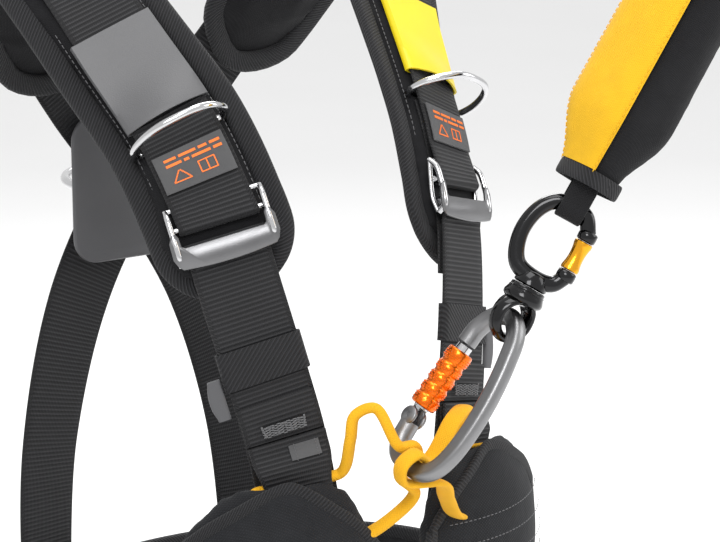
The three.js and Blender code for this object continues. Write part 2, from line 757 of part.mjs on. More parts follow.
function swivel() {
  const { collar, axle, base } = SWIVEL;
  const eye = drum(SWIVEL_RADIUS, SWIVEL_RADIUS, EYE_PLATE, 32).rotateZ(Math.PI / 2);
  const eyeHole = drum(EYE_HOLE, EYE_HOLE, 40, 24).rotateZ(Math.PI / 2);
  const neck = drum(collar.radius - 1.5, collar.radius, collar.high - collar.low, 28).translate(
    0,
    (collar.high + collar.low) / 2,
    0,
  );
  const bore = drum(axle.radius + 0.1, axle.radius + 0.1, 20, 24).translate(0, base + 10, 0);
  const body = cut(joined(eye, neck), eyeHole, bore);
  const axleLength = collar.high + 4 - base - GAP;
  const pin = drum(axle.radius, axle.radius, axleLength, 20).translate(
    0,
    base + GAP + axleLength / 2,
    0,
  );
  const path = SWIVEL_RING.map(([x, y]) => new THREE.Vector3(x, y, 0));
  const lug = (y) => drum(LUG.radius, LUG.radius, LUG.height, 20).translate(BOLT_X, y, 0);
  const boss = drum(collar.radius - 0.5, 7.5, 7, 28).translate(0, collar.high + GAP + 3.5, 0);
  const boltHole = drum(BOLT_RADIUS + 0.1, BOLT_RADIUS + 0.1, 80, 20).translate(BOLT_X, 45, 0);
  const [lowLug, highLug] = LUG.at;
  const ring = cut(joined(rod(path, SWIVEL_ROD, 34, 6), lug(lowLug), lug(highLug), boss), boltHole, bore);
  const boltLength = highLug - lowLug + LUG.height;
  const bolt = drum(BOLT_RADIUS, BOLT_RADIUS, boltLength, 16).translate(
    BOLT_X,
    (highLug + lowLug) / 2,
    0,
  );
  const low = lowLug + LUG.height / 2 + GAP;
  const high = highLug - LUG.height / 2 - GAP;
  const inner = BOLT_RADIUS + 0.2;
  const waist = [
    [inner, low],
    [5.2, low],
    [5.2, low + 2],
    [4.3, (low + high) / 2],
    [5.2, high - 2],
    [5.2, high],
    [inner, high],
    [inner, low],
  ];
  const gold = latheOf(waist).translate(BOLT_X, 0, 0);
  const group = new THREE.Group();
  group.name = "swivel";
  group.add(
    metal("swivel_base", body.rotateY(rad(-CARABINER_ROLL)), COLOURS.black),
    metal("swivel_axle", pin),
    metal("swivel_ring", ring, COLOURS.black),
    metal("ring_bolt", bolt),
    mesh("gold_sleeve", facingOut(gold), COLOURS.gold, 0.8, 0.3),
  );
  return group;
}

function absorber() {
  const { width, depth, length, taper } = ABSORBER;
  const start = ABSORBER_START;
  const section = (y, w, d) => {
    const share = THREE.MathUtils.smoothstep(y, start, start + 42);
    const size = taper + (1 - taper) * share;
    const corner = 0.22;
    const ring = [
      [-0.5 + corner, -0.5],
      [0.5 - corner, -0.5],
      [0.5, -0.5 + corner],
      [0.5, 0.5 - corner],
      [0.5 - corner, 0.5],
      [-0.5 + corner, 0.5],
      [-0.5, 0.5 - corner],
      [-0.5, -0.5 + corner],
    ];
    return ring.map(([x, z]) => new THREE.Vector3(x * w * size, y, z * d * size));
  };
  const heights = [0, 0.06, 0.12, 0.2, 0.35, 0.5, 0.65, 0.8, 0.92, 1].map((share) => start + share * length);
  const shell = loft(heights.map((y) => section(y, width, depth)));
  const wall = ABSORBER_WALL;
  const hollow = loft(
    [-1, 0.06, 0.12, 0.2, 0.5, 0.8, 0.95].map((share) =>
      section(start + Math.max(share, 0) * length - (share < 0 ? 5 : 0), width - 2 * wall, depth - 2 * wall),
    ),
  );
  const cover = cut(shell, hollow);
  const panelRings = [0.06, 0.12, 0.2, 0.35, 0.5, 0.65, 0.8, 0.92, 0.98].map((share) => {
    const y = start + share * length;
    const size = taper + (1 - taper) * THREE.MathUtils.smoothstep(y, start, start + 42);
    const half = (width * size) / 2 - 7;
    const face = (depth * size) / 2 + GAP;
    return [
      new THREE.Vector3(-half, y, face),
      new THREE.Vector3(half, y, face),
      new THREE.Vector3(half, y, face + PANEL_THICK),
      new THREE.Vector3(-half, y, face + PANEL_THICK),
    ];
  });
  const folds = FOLDS.count;
  const fold = [];
  for (let i = 0; i <= folds; i++) {
    const y = start + FOLDS.from + (FOLDS.length * i) / folds;
    fold.push(new THREE.Vector3(0, y, (i % 2 ? 1 : -1) * FOLDS.depth));
  }
  const foldPath = new THREE.CatmullRomCurve3(fold, false, "centripetal");
  const tape = band(flatStations(foldPath, folds * 4), ABSORBER_WEB - 4, 1.6);
  const pouchGroup = new THREE.Group();
  pouchGroup.add(
    fabric("absorber_cover", cover, COLOURS.webbing),
    fabric("absorber_panel", loft(panelRings), COLOURS.yellow),
    fabric("tear_tape", tape, COLOURS.yellow),
  );
  pouchGroup.rotation.y = rad(-ABSORBER_ROLL);
  const radius = LOWER_LOOP.radius;
  const top = LOWER_LOOP.over;
  const lower = uBand([start - GAP, top], radius, -1, LOWER_LOOP.width);
  const head = start + length;
  const upper = uBand([head + GAP, head + UPPER_LOOP.length], UPPER_LOOP.radius, 1, ABSORBER_WEB);
  const group = new THREE.Group();
  group.name = "absorber";
  group.add(pouchGroup, fabric("absorber_lower_loop", lower), fabric("absorber_upper_loop", upper));
  return group;
}

// Stations of a band in the plane across = X that follows a curve in Y and Z
function flatStations(curve, steps) {
  const across = new THREE.Vector3(1, 0, 0);
  return curve.getSpacedPoints(steps).map((at, i) => {
    const along = curve.getTangentAt(i / steps);
    return { at, along, across, face: across.clone().cross(along) };
  });
}

// Two runs of webbing joined by a half turn, from one height to another
function uBand([from, to], radius, sign, width) {
  const across = new THREE.Vector3(1, 0, 0);
  const list = [];
  const along = new THREE.Vector3(0, sign, 0);
  const face = new THREE.Vector3(0, 0, 1);
  for (const y of [from, (from + to) / 2]) {
    list.push({ at: new THREE.Vector3(0, y, radius), along, face, across });
  }
  const start = { at: new THREE.Vector3(0, to, radius), along, face, across };
  list.push(start, ...wrap(start, radius, Math.PI, 12));
  const end = list.at(-1);
  for (const y of [(from + to) / 2, from]) {
    list.push({ ...end, at: new THREE.Vector3(0, y, -radius) });
  }
  return band(list, width, WEB_THICK);
}

function lifeline() {
  const head = new THREE.Vector3(...CARABINER_TOP, 0).applyMatrix4(carabinerFrame());
  const group = new THREE.Group();
  const upper = new THREE.Group();
  upper.name = "lifeline";
  upper.add(swivel(), absorber());
  upper.applyMatrix4(
    lineFrame()
      .multiply(new THREE.Matrix4().makeRotationZ(rad(-SWIVEL_LEAN)))
      .setPosition(head),
  );
  group.add(carabiner(), upper);
  return group;
}

// Back, waist and legs

function dorsal() {
  const at = vec(DORSAL.at);
  const { width, height, corner, thick } = DORSAL;
  const shape = new THREE.Shape();
  const [w, h] = [width / 2, height / 2];
  shape.moveTo(-w + corner, -h);
  shape.lineTo(w - corner, -h);
  shape.quadraticCurveTo(w, -h, w, -h + corner);
  shape.lineTo(w, h - corner);
  shape.quadraticCurveTo(w, h, w - corner, h);
  shape.lineTo(-w + corner, h);
  shape.quadraticCurveTo(-w, h, -w, h - corner);
  shape.lineTo(-w, -h + corner);
  shape.quadraticCurveTo(-w, -h, -w + corner, -h);
  const plate = new THREE.ExtrudeGeometry(shape, { depth: thick, bevelEnabled: false, curveSegments: 6 })
    .rotateX(Math.PI / 2)
    .translate(at.x, at.y, at.z);
  const station = {
    at: new THREE.Vector3(0, DORSAL.webY, DORSAL.ringZ),
    along: new THREE.Vector3(0, 0, 1),
    across: new THREE.Vector3(1, 0, 0),
    face: new THREE.Vector3(0, 1, 0),
  };
  const ring = dRing(station, DORSAL.halfBar, DORSAL.reach, DORSAL.wire, DORSAL.drop);
  return [mesh("dorsal_plate", plate, COLOURS.grey, 0, 0.6), metal("dorsal_ring", ring)];
}

function waist() {
  const frame = outline(WAIST, BELT_BUCKLE_AT, 0, BELT_Z);
  const gap = BUCKLE_APPROACH;
  const lowerUnder = -(SLIDE_BAR.radius + GAP + WEB_THICK / 2);
  const upperUnder = -(FIXED_BAR.radius + GAP + WEB_THICK / 2);
  const round = girdle(WAIST, BELT_BUCKLE_AT + 360 - gap, BELT_BUCKLE_AT + gap, 60, 0, BELT_Z).map(turned);
  const slideEnd = roundBar(
    round,
    turned(frame),
    { ...SLIDE_BAR, along: -SLIDE_BAR.along },
    girdle(WAIST, BELT_BUCKLE_AT + gap, BELT_BUCKLE_AT + gap + 8, 3, lowerUnder, BELT_Z),
  );
  const whole = roundBar(
    slideEnd.reverse().map(turned),
    frame,
    FIXED_BAR,
    girdle(WAIST, BELT_BUCKLE_AT - gap, BELT_BUCKLE_AT - gap - 8, 3, upperUnder, BELT_Z),
  );
  const ring = (degrees) => smallRing(outline(WAIST, degrees, 0, BELT_Z), BELT_WIRE);
  return [
    fabric("belt_webbing", band(whole)),
    fabric("waist_pad", wrappedPad(WAIST, WAIST_PAD, PAD_DROP, PAD_THICK, PAD_STEPS), COLOURS.padding),
    metal("belt_buckle_frame", buckleFrame(frame), COLOURS.satin),
    metal("belt_buckle_bar", buckleBar(frame), COLOURS.satin),
    metal("side_ring_left", ring(SIDE_RING_AT)),
    metal("side_ring_right", ring(-SIDE_RING_AT)),
    metal("ventral_ring", ring(0)),
  ];
}

function leg(side, tag) {
  const group = new THREE.Group();
  const frame = outline(THIGH, side * LEG_BUCKLE_AT);
  const gap = BUCKLE_APPROACH * LEG_GAP_SHARE;
  const under = -(SLIDE_BAR.radius + GAP + WEB_THICK / 2);
  const at = side * LEG_BUCKLE_AT;
  const round = girdle(THIGH, at + 360 - gap, at + gap, 50, 0).map(turned);
  const bar = { ...SLIDE_BAR, along: -SLIDE_BAR.along };
  const slideEnd = roundBar(round, turned(frame), bar, girdle(THIGH, at + gap, at + gap + 12, 3, under));
  const whole = roundBar(
    slideEnd.reverse().map(turned),
    frame,
    FIXED_BAR,
    girdle(THIGH, at - gap, at - gap - 12, 3, -(FIXED_BAR.radius + GAP + WEB_THICK / 2)),
  );
  const pad = { ...LEG_PAD, from: side * LEG_PAD.from, to: side * LEG_PAD.to };
  group.add(
    fabric("leg_webbing_" + tag, roundedBand(whole)),
    fabric("leg_pad_" + tag, wrappedPad(THIGH, pad, PAD_DROP, PAD_THICK, PAD_STEPS), COLOURS.padding),
    metal("leg_buckle_" + tag, joined(buckleFrame(frame), buckleBar(frame, BUCKLE_SLOT + 2)), COLOURS.satin),
  );
  group.position.set(LEG_CENTRE[0] * side, LEG_CENTRE[1], LEG_CENTRE[2]);
  group.rotation.y = rad(-LEG_TILT * side);
  return group;
}

function hanger(name, waypoints, side) {
  const run = stations(route(waypoints, side), 0, waypoints.length - 1, HANGER_STEPS);
  return fabric(name, band(run, HANGER_WIDTH));
}

const harness = new THREE.Group();
for (const [side, tag] of [
  [1, "left"],
  [-1, "right"],
]) {
  harness.add(...upperSide(side, tag), leg(side, tag));
  harness.add(hanger("leg_riser_" + tag, LEG_RISER, side), hanger("seat_strap_" + tag, SEAT_STRAP, side));
}
harness.add(...dorsal(), ...waist(), lifeline());

export default harness;
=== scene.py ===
"""Full-body climbing harness with chest loops, carabiner, gated swivel and energy absorber.

Lengths inside the functions are millimetres and become metres when a mesh is made. +Z is up, the wearer
faces -Y and the wearer's left is +X. The origin is on the spine line at the height of the shoulders.
"""

import math  # noqa: E402
from collections import namedtuple  # noqa: E402

import bmesh  # noqa: E402
import bpy  # noqa: E402
import numpy as np  # noqa: E402
from mathutils import Matrix, Vector  # noqa: E402


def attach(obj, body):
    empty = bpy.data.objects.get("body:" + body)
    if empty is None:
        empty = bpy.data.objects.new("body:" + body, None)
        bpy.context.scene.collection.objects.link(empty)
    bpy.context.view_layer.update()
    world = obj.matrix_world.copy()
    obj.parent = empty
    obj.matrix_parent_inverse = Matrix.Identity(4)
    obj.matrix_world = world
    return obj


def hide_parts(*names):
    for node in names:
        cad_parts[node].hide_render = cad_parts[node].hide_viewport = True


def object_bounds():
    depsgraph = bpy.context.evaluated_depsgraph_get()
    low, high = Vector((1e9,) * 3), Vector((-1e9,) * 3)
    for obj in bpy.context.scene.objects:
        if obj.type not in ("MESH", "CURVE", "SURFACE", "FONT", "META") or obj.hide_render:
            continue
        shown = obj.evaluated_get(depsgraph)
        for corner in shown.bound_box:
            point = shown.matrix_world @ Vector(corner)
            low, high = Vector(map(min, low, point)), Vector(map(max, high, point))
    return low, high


bl_info = {
    "name": "Climbing harness",
    "version": (1, 0, 0),
    "blender": (4, 5, 0),
    "location": "View3D > Sidebar > Harness",
    "description": "Builds the fabric, metal and stage of a full-body climbing harness round its frame",
    "category": "Object",
}

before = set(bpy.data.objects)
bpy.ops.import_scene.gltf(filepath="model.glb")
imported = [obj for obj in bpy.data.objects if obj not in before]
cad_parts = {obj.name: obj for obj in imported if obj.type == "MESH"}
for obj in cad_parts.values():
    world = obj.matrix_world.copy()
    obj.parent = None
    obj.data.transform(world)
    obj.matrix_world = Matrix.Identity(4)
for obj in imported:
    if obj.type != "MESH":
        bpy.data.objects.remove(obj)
CAD_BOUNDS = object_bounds()

MM = 0.001
SIDES = ((1, "left"), (-1, "right"))
GAP = 0.3
BUCKLE = {"width": 58, "height": 34, "slot": 48, "plate": 21, "lift": 5.4}
FIXED_BAR = {"radius": 1.6, "along": -5}
SLIDE_BAR = {"radius": 1.9, "along": 8}
BUCKLE_APPROACH = 6
LEG_GAP_SHARE = 1.75
PAD_DROP = 6
PAD_THICK = 9
RING_DROP = 3.6
CROSS_LIFT = 4.4
WAIST = {"a": 168, "b": 128, "cy": 0}
RIBS = {"a": 155, "b": 137, "cy": 2}
THIGH = {"a": 88, "b": 92, "cy": 0}
BELT_Z = -450
BELT_BUCKLE_AT = 52
LEG_BUCKLE_AT = 32
LEG_CENTRE = (116, -4, -655)
LEG_TILT = 12
DORSAL_AT = (0, 130, -190)
# Spans of the pieces on the shoulder and chest webbing, in waypoints of its route
SHOULDER_PAD_SPAN = (5.3, 12.9)
SHOULDER_PAD_BELOW = (0.1, 1.25)
SLEEVE_SPAN = (9.7, 10.95)
PARKING_RING_PLACE = 11.35
LABEL_SPAN = (11.62, 12.3)
KEEPER_SPAN = (1.85, 2.3)
PULL_TAB_SPAN = (2.12, 2.6)
STRAP_END_SPAN = (2.55, 3.02)
WEB_TURN_PLACE = 12.3
TACK_PLACE = 2.88
# Spans of the pads round the waist and the thigh, in degrees
WAIST_PAD = {"span": (70, 290), "z": -460, "width": 76, "corner": 20}
LEG_PAD = {"span": (62, 332), "width": 68, "corner": 16}
BINDING_TALL = 7.4
SHOULDER_ROUTE = [
    ((-76, 119, -470), (-0.38, 1, 0)),
    ((-76, 121, -425), (-0.35, 1, 0)),
    ((-68, 126, -345), (-0.25, 1, 0)),
    ((-42, 130, -260), (-0.1, 1, 0)),
    ((0, 130, -190), (0, 1, 0.05)),
    ((44, 125, -132), (0.15, 1, 0.3)),
    ((82, 109, -76), (0.25, 0.85, 0.6)),
    ((104, 80, -35), (0.28, 0.45, 1)),
    ((111, 45, -22), (0.25, -0.1, 1)),
    ((107, 10, -44), (0.35, -0.5, 0.9)),
    ((97, -25, -80), (0.45, -0.75, 0.65)),
    ((88, -57, -113), (0.5, -0.85, 0.5)),
    ((84, -75, -136), (0.5, -0.9, 0.4)),
    ((79, -93, -168), (0.5, -0.9, 0.33)),
]
CHEST_ROUTE = [
    ((79, -93, -168), (0.5, -0.9, 0.33)),
    ((76, -102, -192), (0.47, -0.9, 0.26)),
    ((68, -114, -236), (0.42, -0.92, 0.18)),
    ((59, -123, -280), (0.36, -0.93, 0.1)),
    ((53, -127, -316), (0.33, -0.94, 0.02)),
    ((46, -129, -360), (0.28, -0.95, 0)),
    ((40, -129.5, -405), (0.2, -0.97, 0)),
    ((36, -128.5, -450), (0.14, -0.99, 0)),
    ((35, -128.5, -472), (0.14, -0.99, 0)),
]
LEG_RISER = [
    ((42, -131.5, -455), (0.1, -1, 0)),
    ((48, -131, -490), (0.1, -1, 0)),
    ((66, -118, -560), (0.1, -1, 0.05)),
    ((84, -104, -620), (0.05, -1, 0.05)),
    ((88, -98, -660), (0, -1, 0)),
]
SEAT_STRAP = [
    ((114, 99, -452), (0.6, 0.85, 0)),
    ((117, 102, -500), (0.55, 0.85, 0)),
    ((119, 104, -570), (0.3, 0.95, 0)),
    ((116, 97, -635), (0.05, 1, 0)),
    ((115, 93, -666), (0, 1, 0)),
]
LOOPS = {
    "left": {
        "out": [(29, -158, -282), (26, -171, -268), (12, -180, -270)],
        "back": [(4, -180, -304), (17, -168, -318), (35, -153, -336), (60, -138, -342), (82, -126, -326)],
        "bow": (7, -5),
        "turn": (-30, 170),
        "tape": (10.5, 4.2),
    },
    "right": {
        "out": [(-35, -151, -280), (-34, -154, -266), (-25, -160, -262)],
        "back": [
            (-3, -166, -312), (-13, -157, -328), (-30, -146, -340), (-58, -138, -340), (-84, -127, -322),
        ],
        "bow": (-4.6, -4.8),
        "turn": (60, -150),
        "tape": (7.4, 6),
    },
}
LOOP_SHIFT = 25
EYE_RISE = 9
EYE_AT = (3.05, 3.5, 3.95)
CARABINER_BODY = [
    (-17.6, 13), (-15.5, 2.5), (-10, -3.6), (0, -5), (12, -4.4), (20, 1.5), (24, 14),
    (23, 42), (16, 70), (9, 85), (-1, 91), (-12, 87), (-18, 76), (-18.4, 66),
]
CARABINER_AT = (-10, -174, -288)
CARABINER_TOP = (-1, 91)
CARABINER_RADIUS = 5.5
GATE_AXIS = (-17.6, 16.5)
SLEEVE_LOW, SLEEVE_HIGH, SLEEVE_RADIUS, SLEEVE_BORE = 24, 61, 7.4, 4.7
GROOVES = (31.5, 38.5, 45.5, 52.5)
GRIP_ROWS = (28.2, 35, 42, 49, 56.4)
LINE_TURN = -35
LINE_TILT = 14
CARABINER_LEAN = 36
CARABINER_ROLL = 50
SWIVEL_LEAN = 29
ABSORBER_ROLL = 52
SWIVEL_RING = [
    (14.3, 33), (10, 26.5), (0, 24.5), (-12, 28), (-18, 42),
    (-16, 58), (-9, 67), (0, 68.5), (8.5, 67), (14.3, 59),
]
BOLT_X = 14.3
LUG_HEIGHTS = (34, 58)
GOLD_BORE, GOLD_LOW, GOLD_HIGH = 2.9, 37.3, 54.7
ABSORBER = {"start": 84, "width": 56, "depth": 50, "length": 200, "taper": 0.56}
CAMERA_AIM = (0, -0.11, -0.2)
CAMERA_TURN, CAMERA_RISE, CAMERA_DISTANCE, CAMERA_LENS = -35, 14, 1.5, 136.4
FLOOR_HALF = 14

Station = namedtuple("Station", "at along face across")


# Curves and stations


def unit(v):
    v = np.asarray(v, float)
    return v / np.linalg.norm(v)


def mirrored(p, side):
    return np.array([p[0] * side, p[1], p[2]], float)


class Curve:
    """Centripetal Catmull-Rom curve through points."""

    def __init__(self, points, closed=False):
        self.points = [np.asarray(p, float) for p in points]
        self.closed = closed

    def at(self, t):
        pts = self.points
        count = len(pts)
        place = (count if self.closed else count - 1) * t
        i = math.floor(place)
        weight = place - i
        if self.closed:
            i %= count
        elif i >= count - 1:
            i, weight = count - 2, 1.0
        p1, p2 = pts[i], pts[(i + 1) % count]
        p0 = pts[i - 1] if self.closed or i > 0 else 2 * pts[0] - pts[1]
        p3 = pts[(i + 2) % count] if self.closed or i + 2 < count else 2 * pts[-1] - pts[-2]
        spans = ((p0, p1), (p1, p2), (p2, p3))
        d0, d1, d2 = (max(float(np.linalg.norm(b - a)), 1e-6) ** 0.5 for a, b in spans)
        m1 = ((p1 - p0) / d0 - (p2 - p0) / (d0 + d1) + (p2 - p1) / d1) * d1
        m2 = ((p2 - p1) / d1 - (p3 - p1) / (d1 + d2) + (p3 - p2) / d2) * d1
        square = (-3 * p1 + 3 * p2 - 2 * m1 - m2) * weight**2
        return p1 + m1 * weight + square + (2 * p1 - 2 * p2 + m1 + m2) * weight**3

    def tangent(self, t):
        low, high = (t - 1e-4, t + 1e-4) if self.closed else (max(t - 1e-4, 0), min(t + 1e-4, 1))
        return unit(self.at(high % 1 if self.closed else high) - self.at(low % 1 if self.closed else low))


def station(at, along, face, across):
    return Station(*(np.asarray(v, float) for v in (at, along, face, across)))


def route(waypoints, side):
    curve = Curve([mirrored(at, side) for at, _ in waypoints])
    faces = [unit(mirrored(out, side)) for _, out in waypoints]
    last = len(waypoints) - 1

    def place_at(place, lift=0.0, shift=0.0):
        place = min(max(place, 0), last)
        along = curve.tangent(place / last)
        i = min(int(place), last - 1)
        face = faces[i] + (faces[i + 1] - faces[i]) * (place - i)
        face = unit(face - along * face.dot(along))
        across = np.cross(along, face) * side
        return station(curve.at(place / last) + face * lift + across * shift, along, face, across)

    return place_at


def stations(path, start, end, steps, lift=lambda place: 0.0):
    places = np.linspace(start, end, steps + 1)
    return [path(p, lift(p)) for p in places]


def turned(s):
    return s._replace(along=-s.along)


def wrap(start, radius, turn, steps):
    centre = start.at - start.face * radius
    made = []
    for i in range(1, steps + 1):
        angle = turn * i / steps
        face = start.face * math.cos(angle) + start.along * math.sin(angle)
        along = start.along * math.cos(angle) - start.face * math.sin(angle)
        made.append(station(centre + face * radius, along, face, start.across))
    return made


def round_bar(run, buckle, bar, tail, thick):
    radius = bar["radius"] + GAP + thick / 2
    start = buckle._replace(at=buckle.at + buckle.along * bar["along"] + buckle.face * radius)
    return [*run, start, *wrap(start, radius, math.pi, 14), *tail]


def outline(form, degrees, lift=0.0, z=0.0):
    angle = math.radians(degrees)
    along = unit((math.cos(angle) * form["a"], math.sin(angle) * form["b"], 0))
    face = np.array([along[1], -along[0], 0])
    at = np.array([form["a"] * math.sin(angle), form["cy"] - form["b"] * math.cos(angle), z]) + face * lift
    return station(at, along, face, (0, 0, 1))


def carried_round(curve, first, face, count):
    """Stations round a closed curve whose faces turn as little as they can and still meet at the end."""
    alongs = [curve.tangent((first + i / count) % 1) for i in range(count)]
    faces = [unit(face - alongs[0] * np.dot(face, alongs[0]))]
    for along in [*alongs[1:], alongs[0]]:
        faces.append(unit(faces[-1] - along * faces[-1].dot(along)))
    side = np.cross(alongs[0], faces[0])
    over = math.atan2(faces[-1].dot(side), faces[-1].dot(faces[0]))
    run = []
    for i, along in enumerate(alongs):
        angle = -over * i / count
        out = faces[i] * math.cos(angle) + np.cross(along, faces[i]) * math.sin(angle)
        run.append(station(curve.at((first + i / count) % 1), along, out, np.cross(along, out)))
    return run


def girdle(form, start, end, steps, lift, z=0.0):
    return [outline(form, d, lift, z) for d in np.linspace(start, end, steps + 1)]


def moved(run, matrix):
    m = np.array(matrix, float)
    r, t = m[:3, :3], m[:3, 3]
    return [station(r @ s.at + t, r @ s.along, r @ s.face, r @ s.across) for s in run]


def rotation(degrees, axis):
    return Matrix.Rotation(math.radians(degrees), 4, axis)


def line_frame():
    return rotation(LINE_TURN, "Z") @ rotation(90 - LINE_TILT, "X")


def carabiner_frame():
    lean_and_roll = line_frame() @ rotation(-CARABINER_LEAN, "Z") @ rotation(-CARABINER_ROLL, "Y")
    return Matrix.Translation(CARABINER_AT) @ lean_and_roll


def lifeline_frame():
    head = carabiner_frame() @ Vector((*CARABINER_TOP, 0))
    return Matrix.Translation(head) @ line_frame() @ rotation(-SWIVEL_LEAN, "Z")


def absorber_frame():
    return lifeline_frame() @ rotation(-ABSORBER_ROLL, "Y")


def leg_frame(side):
    centre = Matrix.Translation((LEG_CENTRE[0] * side, LEG_CENTRE[1], LEG_CENTRE[2]))
    return centre @ rotation(-LEG_TILT * side, "Y")


def flat_run(outline_points, steps):
    """Stations along an open curve that lies in one plane."""
    curve = Curve([(x, y, 0) for x, y in outline_points])
    run = []
    for i in range(steps + 1):
        along = curve.tangent(i / steps)
        run.append(station(curve.at(i / steps), along, (0, 0, 1), unit(np.cross(along, (0, 0, 1)))))
    return run


def carried(s, pairs):
    """Section points, given as (across, out) pairs, at one station."""
    return [s.at + s.across * a + s.face * o for a, o in pairs]


def smoothstep(x, low, high):
    t = min(max((x - low) / (high - low), 0), 1)
    return t * t * (3 - 2 * t)


# Meshes


class Shape:
    """Points in millimetres, faces, and one (across, along) pair in metres for each face corner."""

    def __init__(self):
        self.points, self.faces, self.uvs = [], [], []

    def add(self, points, faces, uvs):
        base = len(self.points)
        self.points += [tuple(p) for p in points]
        self.faces += [[base + i for i in face] for face in faces]
        self.uvs += uvs
        return self

    def place(self, matrix):
        m = np.array(matrix, float)
        pts = np.array(self.points) @ m[:3, :3].T + m[:3, 3]
        self.points = [tuple(p) for p in pts]
        return self


def loft(rings, looped=False, across=None, lengths=None):
    """Closed surface through rings of equal length. across holds each ring point's own pattern coordinate."""
    shape = Shape()
    rings = [np.asarray(r, float) for r in rings]
    count, bays = len(rings[0]), len(rings) if looped else len(rings) - 1
    if lengths is None:
        middles = [r.mean(0) for r in rings]
        lengths = [0.0]
        for a, b in zip(middles, middles[1:] + middles[:1]):
            lengths.append(lengths[-1] + float(np.linalg.norm(b - a)))
    if across is None:
        steps = [float(np.linalg.norm(rings[0][(j + 1) % count] - rings[0][j])) for j in range(count)]
        across = [0.0, *np.cumsum(steps)]
    faces, uvs = [], []
    for i in range(bays):
        here, there = i * count, ((i + 1) % len(rings)) * count
        for j in range(count):
            k = (j + 1) % count
            faces.append([here + j, here + k, there + k, there + j])
            u, w = across[j], across[j + 1] if len(across) > count else across[k]
            near, far = lengths[i], lengths[i + 1]
            uvs.append([(a * MM, b * MM) for a, b in ((u, near), (w, near), (w, far), (u, far))])
    if not looped:
        for ring, order in ((0, range(count)), (len(rings) - 1, range(count - 1, -1, -1))):
            faces.append([ring * count + j for j in order])
            uvs.append([(across[j] * MM, lengths[ring] * MM) for j in order])
    return shape.add([p for r in rings for p in r], faces, uvs)


def sweep(run, section, looped=False, flat=False):
    """A section of (across, out) pairs, or a function of the share along the run, carried along stations."""
    last = max(len(run) - 1, 1)
    rings, first = [], None
    for i, s in enumerate(run):
        pairs = section(i / last) if callable(section) else section
        first = first or pairs
        rings.append(carried(s, pairs))
    across = [a for a, _ in first] if flat else None
    middles = [s.at for s in run]
    lengths = [0.0]
    for a, b in zip(middles, middles[1:] + middles[:1]):
        lengths.append(lengths[-1] + float(np.linalg.norm(b - a)))
    return loft(rings, looped, across, lengths)


def web_section(width, thick, lift=0.0, across_steps=8):
    edge = thick / 2
    half = width / 2 - edge
    top = [(a, lift + edge) for a in np.linspace(half, -half, across_steps)]
    bottom = [(a, lift - edge) for a in np.linspace(-half, half, across_steps)]
    left = [(-half - edge * math.cos(t), lift + edge * math.sin(t)) for t in (0.8, 0, -0.8)]
    right = [(half + edge * math.cos(t), lift + edge * math.sin(t)) for t in (-0.8, 0, 0.8)]
    return [*top, *left, *bottom, *right]


def oval_section(width, thick, lift=0.0, sides=24, power=1.0, shift=0.0):
    made = []
    for i in range(sides):
        t = 2 * math.pi * (i + 0.5) / sides
        out = (math.copysign(abs(v) ** power, v) for v in (math.cos(t), math.sin(t)))
        made.append((shift + width / 2 * next(out), lift + thick / 2 * next(out)))
    return made


def tube(points, radius, steps, sides=14):
    """Round bar along a curve through points, turned without twist."""
    curve = Curve(points)
    run = []
    normal = None
    for i in range(steps + 1):
        t = i / steps
        along = curve.tangent(t)
        if normal is None:
            seed = np.array([0, 0, 1.0]) if abs(along[2]) < 0.8 else np.array([1.0, 0, 0])
            normal = unit(np.cross(along, seed))
        normal = unit(normal - along * normal.dot(along))
        run.append(station(curve.at(t), along, normal, np.cross(along, normal)))
    return sweep(run, oval_section(2 * radius, 2 * radius, sides=sides))


def turned_shape(profile, segments):
    """Hollow solid of revolution about Y, from (radius, height) pairs that form a closed loop."""
    angles = [2 * math.pi * i / segments for i in range(segments)]
    return loft([[(r * math.cos(t), h, r * math.sin(t)) for r, h in profile] for t in angles], looped=True)


def disc_stack(profile, segments=40):
    """Solid of revolution about Y from (radius, height) pairs, lowest first, closed by flat ends."""
    angles = [2 * math.pi * i / segments for i in range(segments)]
    return loft([[(r * math.cos(t), h, r * math.sin(t)) for t in angles] for r, h in profile])


def plate(contour, thick, bevel):
    """Flat plate from a closed (x, y) contour, with bevelled rims, centred on z 0."""
    contour = np.asarray(contour, float)
    inward = contour.mean(0) - contour
    inward /= np.linalg.norm(inward, axis=1)[:, None]
    levels = ((bevel, -thick / 2), (0, -thick / 2 + bevel), (0, thick / 2 - bevel), (bevel, thick / 2))
    return loft([[(x, y, z) for x, y in contour + inward * cut] for cut, z in levels])


def rounded(width, height, radius, steps):
    """Contour of a rectangle with rounded corners."""
    made = []
    for qx, qy, start in ((1, -1, -90), (1, 1, 0), (-1, 1, 90), (-1, -1, 180)):
        for i in range(steps + 1):
            t = math.radians(start + 90 * i / steps)
            x = qx * (width / 2 - radius) + radius * math.cos(t)
            made.append((x, qy * (height / 2 - radius) + radius * math.sin(t)))
    return made


def station_frame(s):
    m = Matrix.Identity(4)
    for i, v in enumerate((s.across, s.along, s.face, s.at)):
        for j in range(3):
            m[j][i] = v[j]
    return m


def mesh_of(name, shape, sharp=40):
    mesh = bpy.data.meshes.new(name)
    mesh.from_pydata([tuple(c * MM for c in p) for p in shape.points], [], shape.faces)
    layer = mesh.uv_layers.new(name="UVMap")
    flat = [c for face in shape.uvs for pair in face for c in pair]
    layer.data.foreach_set("uv", flat)
    tidy(mesh, sharp)
    return mesh


